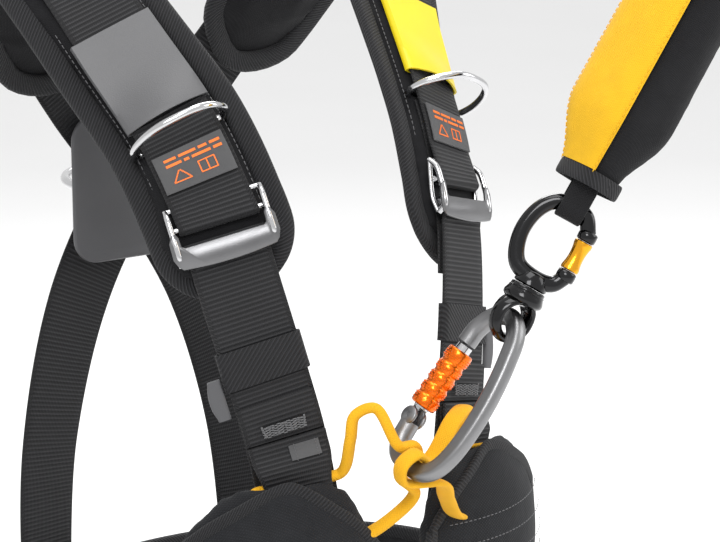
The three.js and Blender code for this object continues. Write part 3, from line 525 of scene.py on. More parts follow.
def tidy(mesh, sharp):
    """Merges doubles, points the faces outwards and sets the sharp edges."""
    bm = bmesh.new()
    bm.from_mesh(mesh)
    bmesh.ops.remove_doubles(bm, verts=bm.verts, dist=1e-6)
    bmesh.ops.dissolve_degenerate(bm, dist=1e-6, edges=bm.edges)
    bmesh.ops.recalc_face_normals(bm, faces=bm.faces)
    bm.to_mesh(mesh)
    bm.free()
    mesh.shade_smooth()
    mesh.set_sharp_from_angle(angle=math.radians(sharp))
    mesh.update()


def linked(name, data):
    """A new object in the scene that shows the mesh, light or camera."""
    made = bpy.data.objects.new(name, data)
    bpy.context.scene.collection.objects.link(made)
    return made


def piece(name, shape, finish, body, replaces=(), sharp=40):
    """A finished object from a Shape or mesh, riding on a body and standing for CAD nodes."""
    finish = FINISHES[finish]
    mesh = shape if isinstance(shape, bpy.types.Mesh) else mesh_of(name, shape, sharp)
    made = linked(name, mesh)
    mesh.materials.clear()
    mesh.materials.append(finish.mat)
    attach(made, body)
    if replaces:
        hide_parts(*replaces)
    return made


def joined(*shapes):
    whole = Shape()
    for s in shapes:
        whole.add(s.points, s.faces, s.uvs)
    return whole


# Finishes


class Finish:
    """A node material with short helpers for its texture nodes."""

    def __init__(self, name, colour, roughness, slot, metallic=0.0, **sockets):
        self.mat = bpy.data.materials.new(name)
        self.mat.use_nodes = True
        self.tree = self.mat.node_tree
        self.bsdf = self.tree.nodes["Principled BSDF"]
        self.slot = slot
        self.bsdf.inputs["Base Color"].default_value = (*colour, 1)
        self.bsdf.inputs["Roughness"].default_value = roughness
        self.bsdf.inputs["Metallic"].default_value = metallic
        for key, value in sockets.items():
            self.bsdf.inputs[key.replace("_", " ")].default_value = value

    def node(self, kind, inputs=None, out=0, **attributes):
        made = self.tree.nodes.new("ShaderNode" + kind)
        for key, value in attributes.items():
            setattr(made, key, value)
        for key, value in (inputs or {}).items():
            if isinstance(value, bpy.types.NodeSocket):
                self.tree.links.new(value, made.inputs[key])
            else:
                made.inputs[key].default_value = value
        return made.outputs[out]

    def math(self, operation, a, b=0.0, c=0.0):
        return self.node("Math", {0: a, 1: b, 2: c}, operation=operation)

    def uv(self):
        split = self.tree.nodes.new("ShaderNodeSeparateXYZ")
        self.tree.links.new(self.node("UVMap", uv_map="UVMap"), split.inputs[0])
        return split.outputs[0], split.outputs[1]

    def place(self, stretch=(1, 1, 1)):
        where = self.tree.nodes.new("ShaderNodeTexCoord").outputs["Object"]
        return self.node("Mapping", {"Vector": where, "Scale": stretch})

    def noise(self, where, scale, detail=3.0):
        return self.node("TexNoise", {"Vector": where, "Scale": scale, "Detail": detail})

    def wave(self, value, pitch):
        """0 to 1 and back once every pitch metres."""
        turn = self.math("MULTIPLY", value, 2 * math.pi / pitch)
        return self.math("MULTIPLY_ADD", self.math("SINE", turn), 0.5, 0.5)

    def between(self, share, low, high):
        made = self.tree.nodes.new("ShaderNodeMix")
        made.data_type = "RGBA"
        self.tree.links.new(share, made.inputs[0])
        for index, value in ((6, low), (7, high)):
            if isinstance(value, bpy.types.NodeSocket):
                self.tree.links.new(value, made.inputs[index])
            else:
                made.inputs[index].default_value = (*value, 1)
        return made.outputs[2]

    def spread(self, share, low, high):
        return self.node("MapRange", {"Value": share, "To Min": low, "To Max": high})

    def feed(self, socket, value):
        self.tree.links.new(value, self.bsdf.inputs[socket])

    def bump(self, height, distance, strength=1.0):
        self.feed("Normal", self.node("Bump", {"Height": height, "Distance": distance, "Strength": strength}))


def scaled(colour, share):
    return tuple(min(c * share, 1) for c in colour[:3])


def webbing(name, colour, slot, pitch, width, rib_highlight=2.6, height=0.0005):
    """Woven tape: ribs across it, fine warp ends along it, a twilled selvedge at each edge, and painted highlights
    on the rib crests.
    """
    f = Finish(name, colour, 0.68, slot, Sheen_Weight=0.05, Specular_IOR_Level=0.35)
    across, along = f.uv()
    rib = f.wave(along, pitch)
    crest = f.math("POWER", rib, 2.5)
    warp = f.wave(across, 0.0012)
    twill = f.wave(f.math("MULTIPLY_ADD", across, 0.8, along), 0.0017)
    edge = f.math("GREATER_THAN", f.math("ABSOLUTE", across), width / 2 - 0.0026)
    body = f.math("MULTIPLY_ADD", warp, 0.22, f.math("MULTIPLY", rib, 0.78))
    kept = f.math("MULTIPLY", body, f.math("SUBTRACT", 1.0, edge))
    high = f.math("MULTIPLY_ADD", twill, f.math("MULTIPLY", edge, 0.6), kept)
    worn = f.noise(f.place(), 60.0)
    tone = f.between(worn, scaled(colour, 0.75), scaled(colour, 1.35))
    # Painted highlight: the rib crests, away from the selvedges, are lightened in the base colour as if lit.
    painted_highlight = f.math("MULTIPLY", crest, f.math("SUBTRACT", 1.0, edge))
    f.feed("Base Color", f.between(f.math("MULTIPLY", painted_highlight, 0.75), tone, scaled(colour, rib_highlight)))
    f.feed("Roughness", f.spread(crest, 0.78, 0.5))
    f.bump(high, height)
    return f


def tape(name, colour, slot, pitch=0.0012):
    """Close plain weave that follows the piece, for loops, labels and thread."""
    f = Finish(name, colour, 0.78, slot, Sheen_Weight=0.05, Specular_IOR_Level=0.25)
    across, along = f.uv()
    one = f.wave(f.math("ADD", across, along), pitch)
    two = f.wave(f.math("SUBTRACT", across, along), pitch)
    weave = f.math("MULTIPLY", one, two)
    worn = f.noise(f.place(), 90.0)
    tone = f.between(worn, scaled(colour, 0.86), scaled(colour, 1.06))
    f.feed("Base Color", f.between(f.math("MULTIPLY", weave, 0.35), tone, scaled(colour, 0.72)))
    f.bump(weave, 0.00022)
    return f


def twill(name, colour, slot, pitch=0.0021, light=4.5, lean=0.75):
    """Diagonal twill of a bound edge or an elastic keeper, with painted highlights on its diagonal crests."""
    f = Finish(name, colour, 0.7, slot, Sheen_Weight=0.05, Specular_IOR_Level=0.3)
    across, along = f.uv()
    diagonal = f.wave(f.math("MULTIPLY_ADD", across, lean, along), pitch)
    thread = f.wave(f.math("MULTIPLY_ADD", across, -1.6, along), pitch * 0.5)
    high = f.math("MULTIPLY_ADD", thread, 0.25, diagonal)
    worn = f.noise(f.place(), 45.0)
    tone = f.between(worn, scaled(colour, 0.7), scaled(colour, 1.4))
    # Painted highlight: the crests of the diagonals are lightened in the base colour as if lit.
    crest = f.math("MULTIPLY", f.math("POWER", diagonal, 3.0), 0.7)
    f.feed("Base Color", f.between(crest, tone, scaled(colour, light)))
    f.bump(high, 0.00045)
    return f


def cloth(name, colour, slot, pitch=0.0013, light=2.2, crease=0.0011):
    """Close fabric over foam, with fine threads both ways and soft creases."""
    f = Finish(name, colour, 0.82, slot, Sheen_Weight=0.04, Specular_IOR_Level=0.25)
    where = f.place()
    split = f.tree.nodes.new("ShaderNodeSeparateXYZ")
    f.tree.links.new(where, split.inputs[0])
    x, y, z = split.outputs[0], split.outputs[1], split.outputs[2]
    one = f.wave(f.math("ADD", f.math("ADD", x, y), z), pitch)
    two = f.wave(f.math("SUBTRACT", f.math("SUBTRACT", x, y), z), pitch)
    threads = f.math("MULTIPLY", one, two)
    folds = f.noise(where, 38.0, 4.0)
    worn = f.noise(where, 160.0)
    tone = f.between(worn, scaled(colour, 0.65), scaled(colour, 1.5))
    f.feed("Base Color", f.between(f.math("MULTIPLY", threads, 0.5), tone, scaled(colour, light)))
    f.feed("Roughness", f.spread(folds, 0.7, 0.92))
    f.bump(f.math("MULTIPLY_ADD", threads, 0.16, folds), crease)
    return f


def coated(name, colour, slot, roughness=0.42, grain=0.00012):
    """Smooth coated sleeve or moulded plastic with a fine grain."""
    f = Finish(name, colour, roughness, slot, Specular_IOR_Level=0.5)
    where = f.place()
    speck = f.noise(where, 1400.0)
    cloud = f.noise(where, 30.0)
    f.feed("Base Color", f.between(cloud, scaled(colour, 0.86), scaled(colour, 1.12)))
    f.feed("Roughness", f.spread(cloud, roughness - 0.06, roughness + 0.1))
    f.bump(speck, grain)
    return f


def metal(name, colour, slot, roughness, grain, brushed=(1, 1, 1), coat=0.0):
    """Bare or anodised metal with faint scratches and an uneven polish."""
    wear = 0.08
    f = Finish(name, colour, roughness, slot, metallic=1.0, Coat_Weight=coat)
    lines = f.noise(f.place(brushed), 900.0, 4.0)
    cloud = f.noise(f.place(), 70.0)
    f.feed("Base Color", f.between(cloud, scaled(colour, 0.84), scaled(colour, 1.1)))
    polish = f.math("MULTIPLY", f.math("ADD", lines, cloud), 0.5)
    f.feed("Roughness", f.spread(polish, roughness - wear, roughness + wear))
    f.bump(lines, grain)
    return f


FINISHES = {}


def make_finishes(c, s):
    """Every material of the harness, from the chosen colours."""
    web = s.web_width
    FINISHES.update(
        web=webbing("black_webbing", c.webbing, "black_webbing", s.rib_pitch, web),
        narrow_web=webbing("black_narrow_webbing", c.webbing, "black_webbing", s.rib_pitch * 0.8, 0.03),
        absorber_web=tape("black_tape", c.webbing, "black_webbing", 0.0018),
        binding=twill("black_binding", c.webbing, "padding"),
        keeper=twill("elastic_twill", c.webbing, "black_webbing", 0.0028, 3.6, 0.9),
        padding=cloth("pad_cloth", c.padding, "padding"),
        pouch=cloth("pouch_cloth", c.pouch, "padding", 0.0022, 2.6, 0.0016),
        mesh=cloth("spacer_cloth", c.padding, "padding", 0.0024, 3.0, 0.0006),
        grey=coated("grey_sleeve", c.grey, "grey_fabric", 0.4),
        label=tape("grey_label", c.label, "grey_fabric", 0.0007),
        print=coated("orange_print", c.orange, "grey_fabric", 0.5),
        yellow=coated("yellow_sleeve", c.yellow, "yellow_fabric", 0.38),
        panel=tape("yellow_panel", c.panel, "yellow_fabric", 0.0011),
        loop=tape("loop_tape", c.loop, "loop_tape", 0.0016),
        steel=metal("polished_steel", c.steel, "polished_steel", 0.13, 0.00001),
        satin=metal("satin_steel", c.satin, "satin_steel", 0.34, 0.00004, (1, 1, 6)),
        alloy=metal("forged_alloy", c.alloy, "forged_alloy", 0.36, 0.00008, (4, 4, 1)),
        orange=metal("orange_alloy", c.orange, "orange_alloy", 0.26, 0.00002, coat=0.3),
        black=metal("black_alloy", c.black_alloy, "black_alloy", 0.24, 0.00002, coat=0.6),
        gold=metal("gold_alloy", c.gold, "gold_alloy", 0.22, 0.00002, coat=0.2),
        plastic=coated("grey_plastic", c.plastic, "grey_plastic", 0.45),
        thread=tape("grey_thread", c.thread, "black_webbing", 0.0006),
        yellow_thread=tape("yellow_thread", c.panel, "yellow_fabric", 0.0006),
    )


# Soft pieces

CLOTH_FRAMES = 20


def swollen(name, shape, cap, pressure=4.0, voxel=4.5):
    """The shape blown up as a stuffed cloth skin. No point moves further than cap, in millimetres."""
    made = linked(name + "_skin", mesh_of(name, shape))
    remesh = made.modifiers.new("Remesh", "REMESH")
    remesh.mode = "VOXEL"
    remesh.voxel_size = voxel * MM
    baked(made)
    rest = np.array([v.co for v in made.data.vertices])
    skin = made.modifiers.new("Cloth", "CLOTH")
    skin.settings.use_pressure = True
    skin.settings.uniform_pressure_force = pressure
    skin.settings.effector_weights.gravity = 0
    skin.settings.quality = 4
    skin.settings.mass = 0.3
    scene = bpy.context.scene
    for number in range(1, CLOTH_FRAMES + 1):
        scene.frame_set(number)
    baked(made)
    scene.frame_set(1)
    now = np.array([v.co for v in made.data.vertices])
    step = now - rest
    size = np.linalg.norm(step, axis=1, keepdims=True)
    now = rest + step * np.minimum(1, cap * MM / np.maximum(size, 1e-9))
    made.data.vertices.foreach_set("co", now.astype(np.float32).ravel())
    finer = made.modifiers.new("Subdivision", "SUBSURF")
    finer.levels = finer.render_levels = 1
    baked(made)
    result = made.data
    bpy.data.objects.remove(made)
    result.name = name
    result.shade_smooth()
    return result


def baked(obj):
    """Applies the object's modifiers to its mesh."""
    graph = bpy.context.evaluated_depsgraph_get()
    graph.update()
    fresh = bpy.data.meshes.new_from_object(obj.evaluated_get(graph))
    obj.modifiers.clear()
    obj.data = fresh


def pad_run(s):
    """Stations of a shoulder pad from behind the shoulder to below the adjuster."""
    shoulder, chest = route(SHOULDER_ROUTE, s), route(CHEST_ROUTE, s)
    return [*stations(shoulder, *SHOULDER_PAD_SPAN, 70), *stations(chest, *SHOULDER_PAD_BELOW, 10)]


def lengths_of(run):
    steps = [0.0, *(float(np.linalg.norm(b.at - a.at)) for a, b in zip(run, run[1:]))]
    return np.cumsum(steps)


def end_width(run, width, radius):
    """Width at each station, rounded off over a radius at both ends."""
    length = lengths_of(run)
    made = []
    for d in length:
        near = min(d, length[-1] - d)
        share = max(1 - near / radius, 0)
        made.append(width * math.sqrt(max(1 - share**2.0, 0.02)))
    return made


def pad_core(run, widths, lift):
    """The unstuffed pad, a little smaller than it will be."""
    narrower, thick = 10, PAD_THICK - 2.0
    pairs = zip(run, widths)
    return loft([carried(s, oval_section(max(w - narrower, 4), thick, lift, 28, 0.55)) for s, w in pairs])


def pad_binding(run, widths, wide, lift):
    """The bound edge that runs all the way round a pad."""
    rim = []
    for sign in (1, -1):
        side = []
        for s, width in zip(run, widths):
            side.append(s._replace(at=s.at + s.across * sign * (width / 2 - wide / 2) + s.face * lift))
        rim += side if sign > 0 else side[::-1]
    centre_curve = Curve([s.at for s in rim[::2]], closed=True)
    faces = [s.face for s in rim[::2]]
    run_round = []
    count = len(faces) * 3
    for i in range(count):
        t = i / count
        place = t * len(faces)
        k = int(place)
        along = centre_curve.tangent(t)
        face = faces[k % len(faces)] * (1 - place + k) + faces[(k + 1) % len(faces)] * (place - k)
        face = unit(face - along * face.dot(along))
        run_round.append(station(centre_curve.at(t), along, face, np.cross(along, face)))
    return sweep(run_round, oval_section(wide, BINDING_TALL, sides=16, power=0.7), looped=True)


# Repeated pieces made by Geometry Nodes


def stitch_tree():
    """Stitches set along the piece's edges: short capsules, each turned to its own direction."""
    tree = bpy.data.node_groups.new("Stitches", "GeometryNodeTree")
    face = tree.interface
    face.new_socket("Geometry", in_out="INPUT", socket_type="NodeSocketGeometry")
    for label, value in (("Spacing", 0.003), ("Length", 0.002), ("Thickness", 0.0005)):
        socket = face.new_socket(label, in_out="INPUT", socket_type="NodeSocketFloat")
        socket.default_value = value
        socket.subtype = "DISTANCE"
    seed = face.new_socket("Seed", in_out="INPUT", socket_type="NodeSocketInt")
    seed.default_value = 3
    face.new_socket("Material", in_out="INPUT", socket_type="NodeSocketMaterial")
    face.new_socket("Geometry", in_out="OUTPUT", socket_type="NodeSocketGeometry")
    nodes, links = tree.nodes, tree.links
    given, result = nodes.new("NodeGroupInput"), nodes.new("NodeGroupOutput")
    curve = nodes.new("GeometryNodeMeshToCurve")
    spaced = nodes.new("GeometryNodeCurveToPoints")
    spaced.mode = "LENGTH"
    shape = nodes.new("GeometryNodeMeshCylinder")
    shape.inputs["Vertices"].default_value = 6
    shape.inputs["Radius"].default_value = 0.5
    shape.inputs["Depth"].default_value = 1.0
    size = nodes.new("ShaderNodeCombineXYZ")
    vary = nodes.new("FunctionNodeRandomValue")
    vary.data_type = "FLOAT"
    vary.inputs["Min"].default_value = 0.88
    vary.inputs["Max"].default_value = 1.08
    longer = nodes.new("ShaderNodeMath")
    longer.operation = "MULTIPLY"
    place = nodes.new("GeometryNodeInstanceOnPoints")
    turn = nodes.new("FunctionNodeAlignRotationToVector")
    turn.axis = "Z"
    real = nodes.new("GeometryNodeRealizeInstances")
    paint = nodes.new("GeometryNodeSetMaterial")
    links.new(given.outputs["Geometry"], curve.inputs["Mesh"])
    links.new(curve.outputs["Curve"], spaced.inputs["Curve"])
    links.new(given.outputs["Spacing"], spaced.inputs["Length"])
    links.new(given.outputs["Seed"], vary.inputs["Seed"])
    links.new(given.outputs["Length"], longer.inputs[0])
    links.new(vary.outputs[1], longer.inputs[1])
    links.new(given.outputs["Thickness"], size.inputs[0])
    links.new(given.outputs["Thickness"], size.inputs[1])
    links.new(longer.outputs[0], size.inputs[2])
    links.new(spaced.outputs["Tangent"], turn.inputs["Vector"])
    links.new(spaced.outputs["Points"], place.inputs["Points"])
    links.new(shape.outputs["Mesh"], place.inputs["Instance"])
    links.new(turn.outputs["Rotation"], place.inputs["Rotation"])
    links.new(size.outputs[0], place.inputs["Scale"])
    links.new(place.outputs["Instances"], real.inputs["Geometry"])
    links.new(real.outputs["Geometry"], paint.inputs["Geometry"])
    links.new(given.outputs["Material"], paint.inputs["Material"])
    links.new(paint.outputs["Geometry"], result.inputs["Geometry"])
    return tree


def stitched(name, paths, finish, body, spacing=3.0, length=2.0, thick=0.55):
    """Rows of stitches along paths of points, as one mesh."""
    tree = bpy.data.node_groups.get("Stitches") or stitch_tree()
    mesh = bpy.data.meshes.new(name + "_paths")
    points, edges = [], []
    for path in paths:
        base = len(points)
        points += [tuple(c * MM for c in p) for p in path]
        edges += [(base + i, base + i + 1) for i in range(len(path) - 1)]
    mesh.from_pydata(points, edges, [])
    finish = FINISHES[finish]
    sizes = {"Spacing": spacing * MM, "Length": length * MM, "Thickness": thick * MM}
    grown(linked(name, mesh), tree, {**sizes, "Seed": 3, "Material": finish.mat}, body)


def grown(made, tree, values, body):
    """Runs a node tree on the object and keeps its result as a plain mesh that rides on the body."""
    modifier = made.modifiers.new(tree.name, "NODES")
    modifier.node_group = tree
    for socket in tree.interface.items_tree:
        if socket.in_out == "INPUT" and socket.name in values:
            modifier[socket.identifier] = values[socket.name]
    baked(made)
    made.data.shade_smooth()
    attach(made, body)


def zigzag(s, width, height, turns, lift, shift=0.0):
    """A bar tack: a zigzag across the webbing."""
    path = []
    for i in range(turns + 1):
        a = shift - width / 2 + width * i / turns
        b = height / 2 * (1 if i % 2 else -1)
        path.append(s.at + s.across * a + s.along * b + s.face * lift)
    return path


def offset_line(run, across, lift):
    return [s.at + s.across * across + s.face * lift for s in run]


# Buckles and rings


def buckle_shape(s):
    """Adjuster: a rounded frame, a wide lip over the webbing and two raised side arms."""
    w, h = BUCKLE["width"], BUCKLE["height"]
    lip = []
    for x in np.linspace(-w / 2 + 3, w / 2 - 3, 17):
        bow = 2.2 * (1 - (2 * x / w) ** 2)
        lip.append((x, h / 2 - 1 + bow))
    lip += [(w / 2 - 0.8, h / 2 - 3), (w / 2 + 0.8, h / 2 - 7), (w / 2 + 0.6, 1), (w / 2 - 1.5, -3)]
    lip += [(w / 2 - 4, -3.4), (w / 2 - 5.2, -1), (w / 2 - 5.4, 4)]
    lip += [(x, 5.2) for x in np.linspace(w / 2 - 7, -w / 2 + 7, 9)]
    lip += [(-w / 2 + 5.4, 4), (-w / 2 + 5.2, -1), (-w / 2 + 4, -3.4), (-w / 2 + 1.5, -3)]
    lip += [(-w / 2 - 0.6, 1), (-w / 2 - 0.8, h / 2 - 7), (-w / 2 + 0.8, h / 2 - 3)]
    centre = np.array(lip)
    rings = []
    inner = inset(centre, 0.5)
    for contour, z in ((inner, -1.0), (centre, -0.5), (centre, 0.5), (inner, 1.0)):
        rings.append([(x, y, BUCKLE["lift"] + z) for x, y in contour])
    front = loft(rings)
    arms = []
    for sign in (-1, 1):
        x = sign * (w / 2 - 2.5)
        arms.append(
            tube([(x, -16, -1.5), (x, -12, 2.4), (x, -4, 4.4), (x, 5, 5.6), (x, 10, 5.2), (x, 14, 1)], 1.7, 30, 12)
        )
        arms.append(tube([(x, -16, -1.5), (x, -6, -2), (x, 6, -2), (x, 14, 0.6)], 1.6, 16, 10))
    bar = tube([(-w / 2 + 2.5, -5, 0), (0, -5, 0), (w / 2 - 2.5, -5, 0)], FIXED_BAR["radius"], 4, 14)
    arms.append(tube([(-w / 2 + 2.5, -16, -1.5), (0, -16, -1.9), (w / 2 - 2.5, -16, -1.5)], 1.5, 6, 12))
    return [part.place(station_frame(s)) for part in (front, bar, *arms)]


def inset(contour, amount):
    """A closed contour moved inward by an amount."""
    ahead, behind = np.roll(contour, -1, 0), np.roll(contour, 1, 0)
    step = ahead - behind
    normal = np.stack([-step[:, 1], step[:, 0]], 1)
    normal /= np.linalg.norm(normal, axis=1)[:, None] + 1e-9
    area = 0.5 * np.sum(contour[:, 0] * ahead[:, 1] - ahead[:, 0] * contour[:, 1])
    return contour + normal * amount * (1 if area > 0 else -1)


def ring_shape(s, half, reach, wire, drop):
    outline_points = [
        (-half, 0),
        (-half / 2, 0),
        (0, 0),
        (half / 2, 0),
        (half, 0),
        (half * 1.06, reach * 0.3),
        (half * 0.86, reach * 0.68),
        (half * 0.48, reach * 0.94),
        (0, reach),
        (-half * 0.48, reach * 0.94),
        (-half * 0.86, reach * 0.68),
        (-half * 1.06, reach * 0.3),
    ]
    points = [s.at + s.across * a + s.face * (o - drop) for a, o in outline_points]
    curve = Curve(points, closed=True)
    run = []
    for i in range(96):
        along = curve.tangent(i / 96)
        across = unit(np.cross(s.along, along))
        run.append(station(curve.at(i / 96), along, s.along, across))
    return sweep(run, oval_section(2 * wire, 2 * wire, sides=18), looped=True)


# Operators


class Step:
    bl_options = {"REGISTER", "UNDO"}


class HARNESS_OT_webbing(Step, bpy.types.Operator):
    """Shoulder and chest webbing with their turns round the adjuster bars"""

    bl_idname = "harness.webbing"
    bl_label = "Shoulder and chest webbing"

    def execute(self, context):
        sizes = context.scene.harness_sizes
        width, thick = sizes.web_width / MM, sizes.web_thick / MM
        section = web_section(width, thick)
        for side, tag in SIDES:
            shoulder, chest = route(SHOULDER_ROUTE, side), route(CHEST_ROUTE, side)
            buckle = chest(0)

            def cross(place, side=side):
                return CROSS_LIFT * math.exp(-(((place - 4) / 1.1) ** 2)) if side > 0 else 0.0

            under = -(FIXED_BAR["radius"] + GAP + thick / 2)
            upper = round_bar(
                stations(shoulder, 0, WEB_TURN_PLACE, 180, cross),
                buckle,
                FIXED_BAR,
                stations(shoulder, 12.1, 11.5, 6, lambda p: under),
                thick,
            )
            low = -(SLIDE_BAR["radius"] + GAP + thick / 2)
            slide = {**SLIDE_BAR, "along": -SLIDE_BAR["along"]}
            lower = round_bar(
                [turned(s) for s in stations(chest, 8, 0.8, 110)],
                turned(buckle),
                slide,
                stations(chest, 0.9, 1.5, 6, lambda p: low),
                thick,
            )
            for name, run, node in (("upper", upper, "shoulder"), ("lower", lower, "chest")):
                strap = sweep(run, section, flat=True)
                piece(f"{name}_strap_{tag}", strap, "web", "harness", [f"{node}_webbing_{tag}"])
        return {"FINISHED"}


class HARNESS_OT_shoulder_pads(Step, bpy.types.Operator):
    """Padded yokes with bound edges under the shoulder webbing"""

    bl_idname = "harness.shoulder_pads"
    bl_label = "Shoulder pads"

    def execute(self, context):
        sizes = context.scene.harness_sizes
        width = sizes.pad_width / MM
        middle = -PAD_DROP - PAD_THICK / 2
        for side, tag in SIDES:
            run = pad_run(side)
            widths = end_width(run, width, 34)
            core = pad_core(run, widths, middle)
            mesh = swollen("shoulder_cushion_" + tag, core, sizes.swell / MM)
            stands_for = ["shoulder_pad_" + tag]
            pad = piece("shoulder_cushion_" + tag, mesh, "padding", "harness", stands_for)
            binding = pad_binding(run, widths, 13, middle)
            piece("shoulder_binding_" + tag, binding, "binding", "harness")
            inner = [w / 2 - 14.2 for w in widths]
            rows = [
                [s.at + s.across * sign * a + s.face * (middle + 4.1) for s, a in zip(run[6:-6], inner[6:-6])]
                for sign in (-1, 1)
            ]
            stitched("shoulder_stitches_" + tag, rows, "thread", "harness", 3.4, 2.3, 0.5)
        return {"FINISHED"}


class HARNESS_OT_sleeves(Step, bpy.types.Operator):
    """Coated sleeves over the webbing above the parking rings, and the printed label tabs below them"""

    bl_idname = "harness.sleeves"
    bl_label = "Sleeves and label tabs"

    def execute(self, context):
        sizes = context.scene.harness_sizes
        width = sizes.web_width / MM
        for side, tag in SIDES:
            shoulder = route(SHOULDER_ROUTE, side)
            run = stations(shoulder, *SLEEVE_SPAN, 36)

            def skin(share, wall=0.0):
                half = width / 2 + 1.9 - wall
                rise = 5.2 * smoothstep(share, 0.45, 1.0)
                top = []
                for a in np.linspace(half, -half, 21):
                    bow = math.cos(math.pi * a / (2 * half))
                    top.append((a, 1.9 - wall + rise * bow**0.8 + 0.5 * bow))
                bottom = [(a, -2.1 + wall) for a in np.linspace(-half, half, 9)]
                left = [(-half - 0.5 + wall * 0.2, 0.6), (-half - 0.6 + wall * 0.2, -0.8)]
                right = [(half + 0.6 - wall * 0.2, -0.8), (half + 0.5 - wall * 0.2, 0.6)]
                return [*top, *left, *bottom, *right]

            outer = [carried(s, skin(i / 36)) for i, s in enumerate(run)]
            inner = [carried(s, skin(i / 36, 1.0)) for i, s in enumerate(run)]
            finish = "grey" if side < 0 else "yellow"
            sleeve = loft([*outer, *inner[::-1]], looped=True)
            piece("sleeve_" + tag, sleeve, finish, "harness", ["web_sleeve_" + tag], 50)
            tab_run = stations(shoulder, *LABEL_SPAN, 16)
            tab = sweep(tab_run, web_section(width - 4, 1.2, 2.2, 10), flat=True)
            piece("label_tab_" + tag, tab, "label", "harness", ["ring_tab_" + tag])
            marks = []
            lift = 2.2 + 0.6 + 0.12

            def patch(place, across, long, wide):
                low, high = lift - 0.1, lift + 0.1
                half = [(-wide / 2, low), (wide / 2, low), (wide / 2, high), (-wide / 2, high)]
                base = stations(shoulder, place, place + long, 2)
                return sweep([s._replace(at=s.at + s.across * across) for s in base], half)

            for row, words in enumerate(((7, 10, 5, 6), (9, 3, 11, 5))):
                a = -15.0
                for word in words:
                    marks.append(patch(11.74 + row * 0.11, side * (a + word / 2) * -1, 0.05, word))
                    a += word + 1.6
            for cx in (2, 6.6, 11.2):
                marks.append(patch(12.0, -side * cx, 0.17, 0.7))
            for place in (11.99, 12.16):
                marks.append(patch(place, -side * 6.6, 0.018, 9.8))
            for i in range(9):
                for spread in (0.52, -0.52):
                    marks.append(patch(12.0 + 0.019 * i, side * (9 + spread * (i + 1)), 0.022, 0.8))
            marks.append(patch(12.165, side * 9, 0.018, 10.4))
            piece("label_marks_" + tag, joined(*marks), "print", "harness")
        return {"FINISHED"}


class HARNESS_OT_adjusters(Step, bpy.types.Operator):
    """Adjuster buckles on the chest, the belt and the legs"""

    bl_idname = "harness.adjusters"
    bl_label = "Adjuster buckles"

    def execute(self, context):
        for side, tag in SIDES:
            self.make("chest_adjuster_" + tag, route(CHEST_ROUTE, side)(0), ["chest_buckle_frame_" + tag])
            leg = moved([outline(THIGH, side * LEG_BUCKLE_AT)], leg_frame(side))[0]
            self.make("leg_adjuster_" + tag, leg, ["leg_buckle_" + tag], True)
        self.make("belt_adjuster", outline(WAIST, BELT_BUCKLE_AT, 0, BELT_Z), ["belt_buckle_frame"])
        for node in ("chest_buckle_bar_left", "chest_buckle_bar_right", "belt_buckle_bar"):
            paint_node(node, "satin")
        return {"FINISHED"}

    def make(self, name, at, nodes, with_bar=False):
        parts = buckle_shape(at)
        if with_bar:
            half = BUCKLE["slot"] / 2 + 1
            y = SLIDE_BAR["along"]
            bar = tube([(-half, y, 0), (0, y, 0), (half, y, 0)], SLIDE_BAR["radius"], 4)
            parts.append(bar.place(station_frame(at)))
        piece(name, joined(parts[0]), "satin", "harness", nodes, 50)
        piece(name + "_arms", joined(*parts[1:]), "steel", "harness", (), 50)


def paint_node(node, finish):
    """A CAD node shown as it is, with a finish of its own."""
    finish = FINISHES[finish]
    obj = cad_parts[node]
    obj.data.materials.clear()
    obj.data.materials.append(finish.mat)


def refined(node, finish, body):
    """A merged, smooth-shaded copy of a CAD node, with softened edges."""
    sharp = 35
    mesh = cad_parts[node].data.copy()
    bm = bmesh.new()
    bm.from_mesh(mesh)
    bmesh.ops.remove_doubles(bm, verts=bm.verts, dist=2e-6)
    bmesh.ops.dissolve_limit(bm, angle_limit=math.radians(1), verts=bm.verts, edges=bm.edges)
    edges = [e for e in bm.edges if len(e.link_faces) == 2 and e.calc_face_angle(0) > math.radians(sharp)]
    bmesh.ops.bevel(bm, geom=edges, offset=0.0003, segments=2, affect="EDGES", clamp_overlap=True)
    bmesh.ops.remove_doubles(bm, verts=bm.verts, dist=1e-6)
    bmesh.ops.recalc_face_normals(bm, faces=bm.faces)
    bm.to_mesh(mesh)
    bm.free()
    mesh.shade_smooth()
    mesh.set_sharp_from_angle(angle=math.radians(sharp))
    piece(node + "_fine", mesh, finish, body, [node])


class HARNESS_OT_rings(Step, bpy.types.Operator):
    """Parking, side, front and back rings"""

    bl_idname = "harness.rings"
    bl_label = "Rings"

    def execute(self, context):
        wire = context.scene.harness_sizes.ring_wire / MM
        small, belt_wire = (26, 31), 2.2
        for side, tag in SIDES:
            at = route(SHOULDER_ROUTE, side)(PARKING_RING_PLACE)
            self.make("parking_ring", "_" + tag, ring_shape(at, *small, wire, RING_DROP))
            at = outline(WAIST, 92 * side, 0, BELT_Z)
            self.make("side_ring", "_" + tag, ring_shape(at, *small, belt_wire, RING_DROP))
        at = outline(WAIST, 0, 0, BELT_Z)
        self.make("ventral_ring", "", ring_shape(at, *small, belt_wire, RING_DROP))
        at = station(DORSAL_AT, (0, 0, 1), (0, 1, 0), (1, 0, 0))
        self.make("dorsal_ring", "", ring_shape(at, 39, 52, 3, 4.6))
        return {"FINISHED"}

    def make(self, name, tag, shape):
        piece(name + "_bow" + tag, shape, "steel", name + tag, [name + tag])


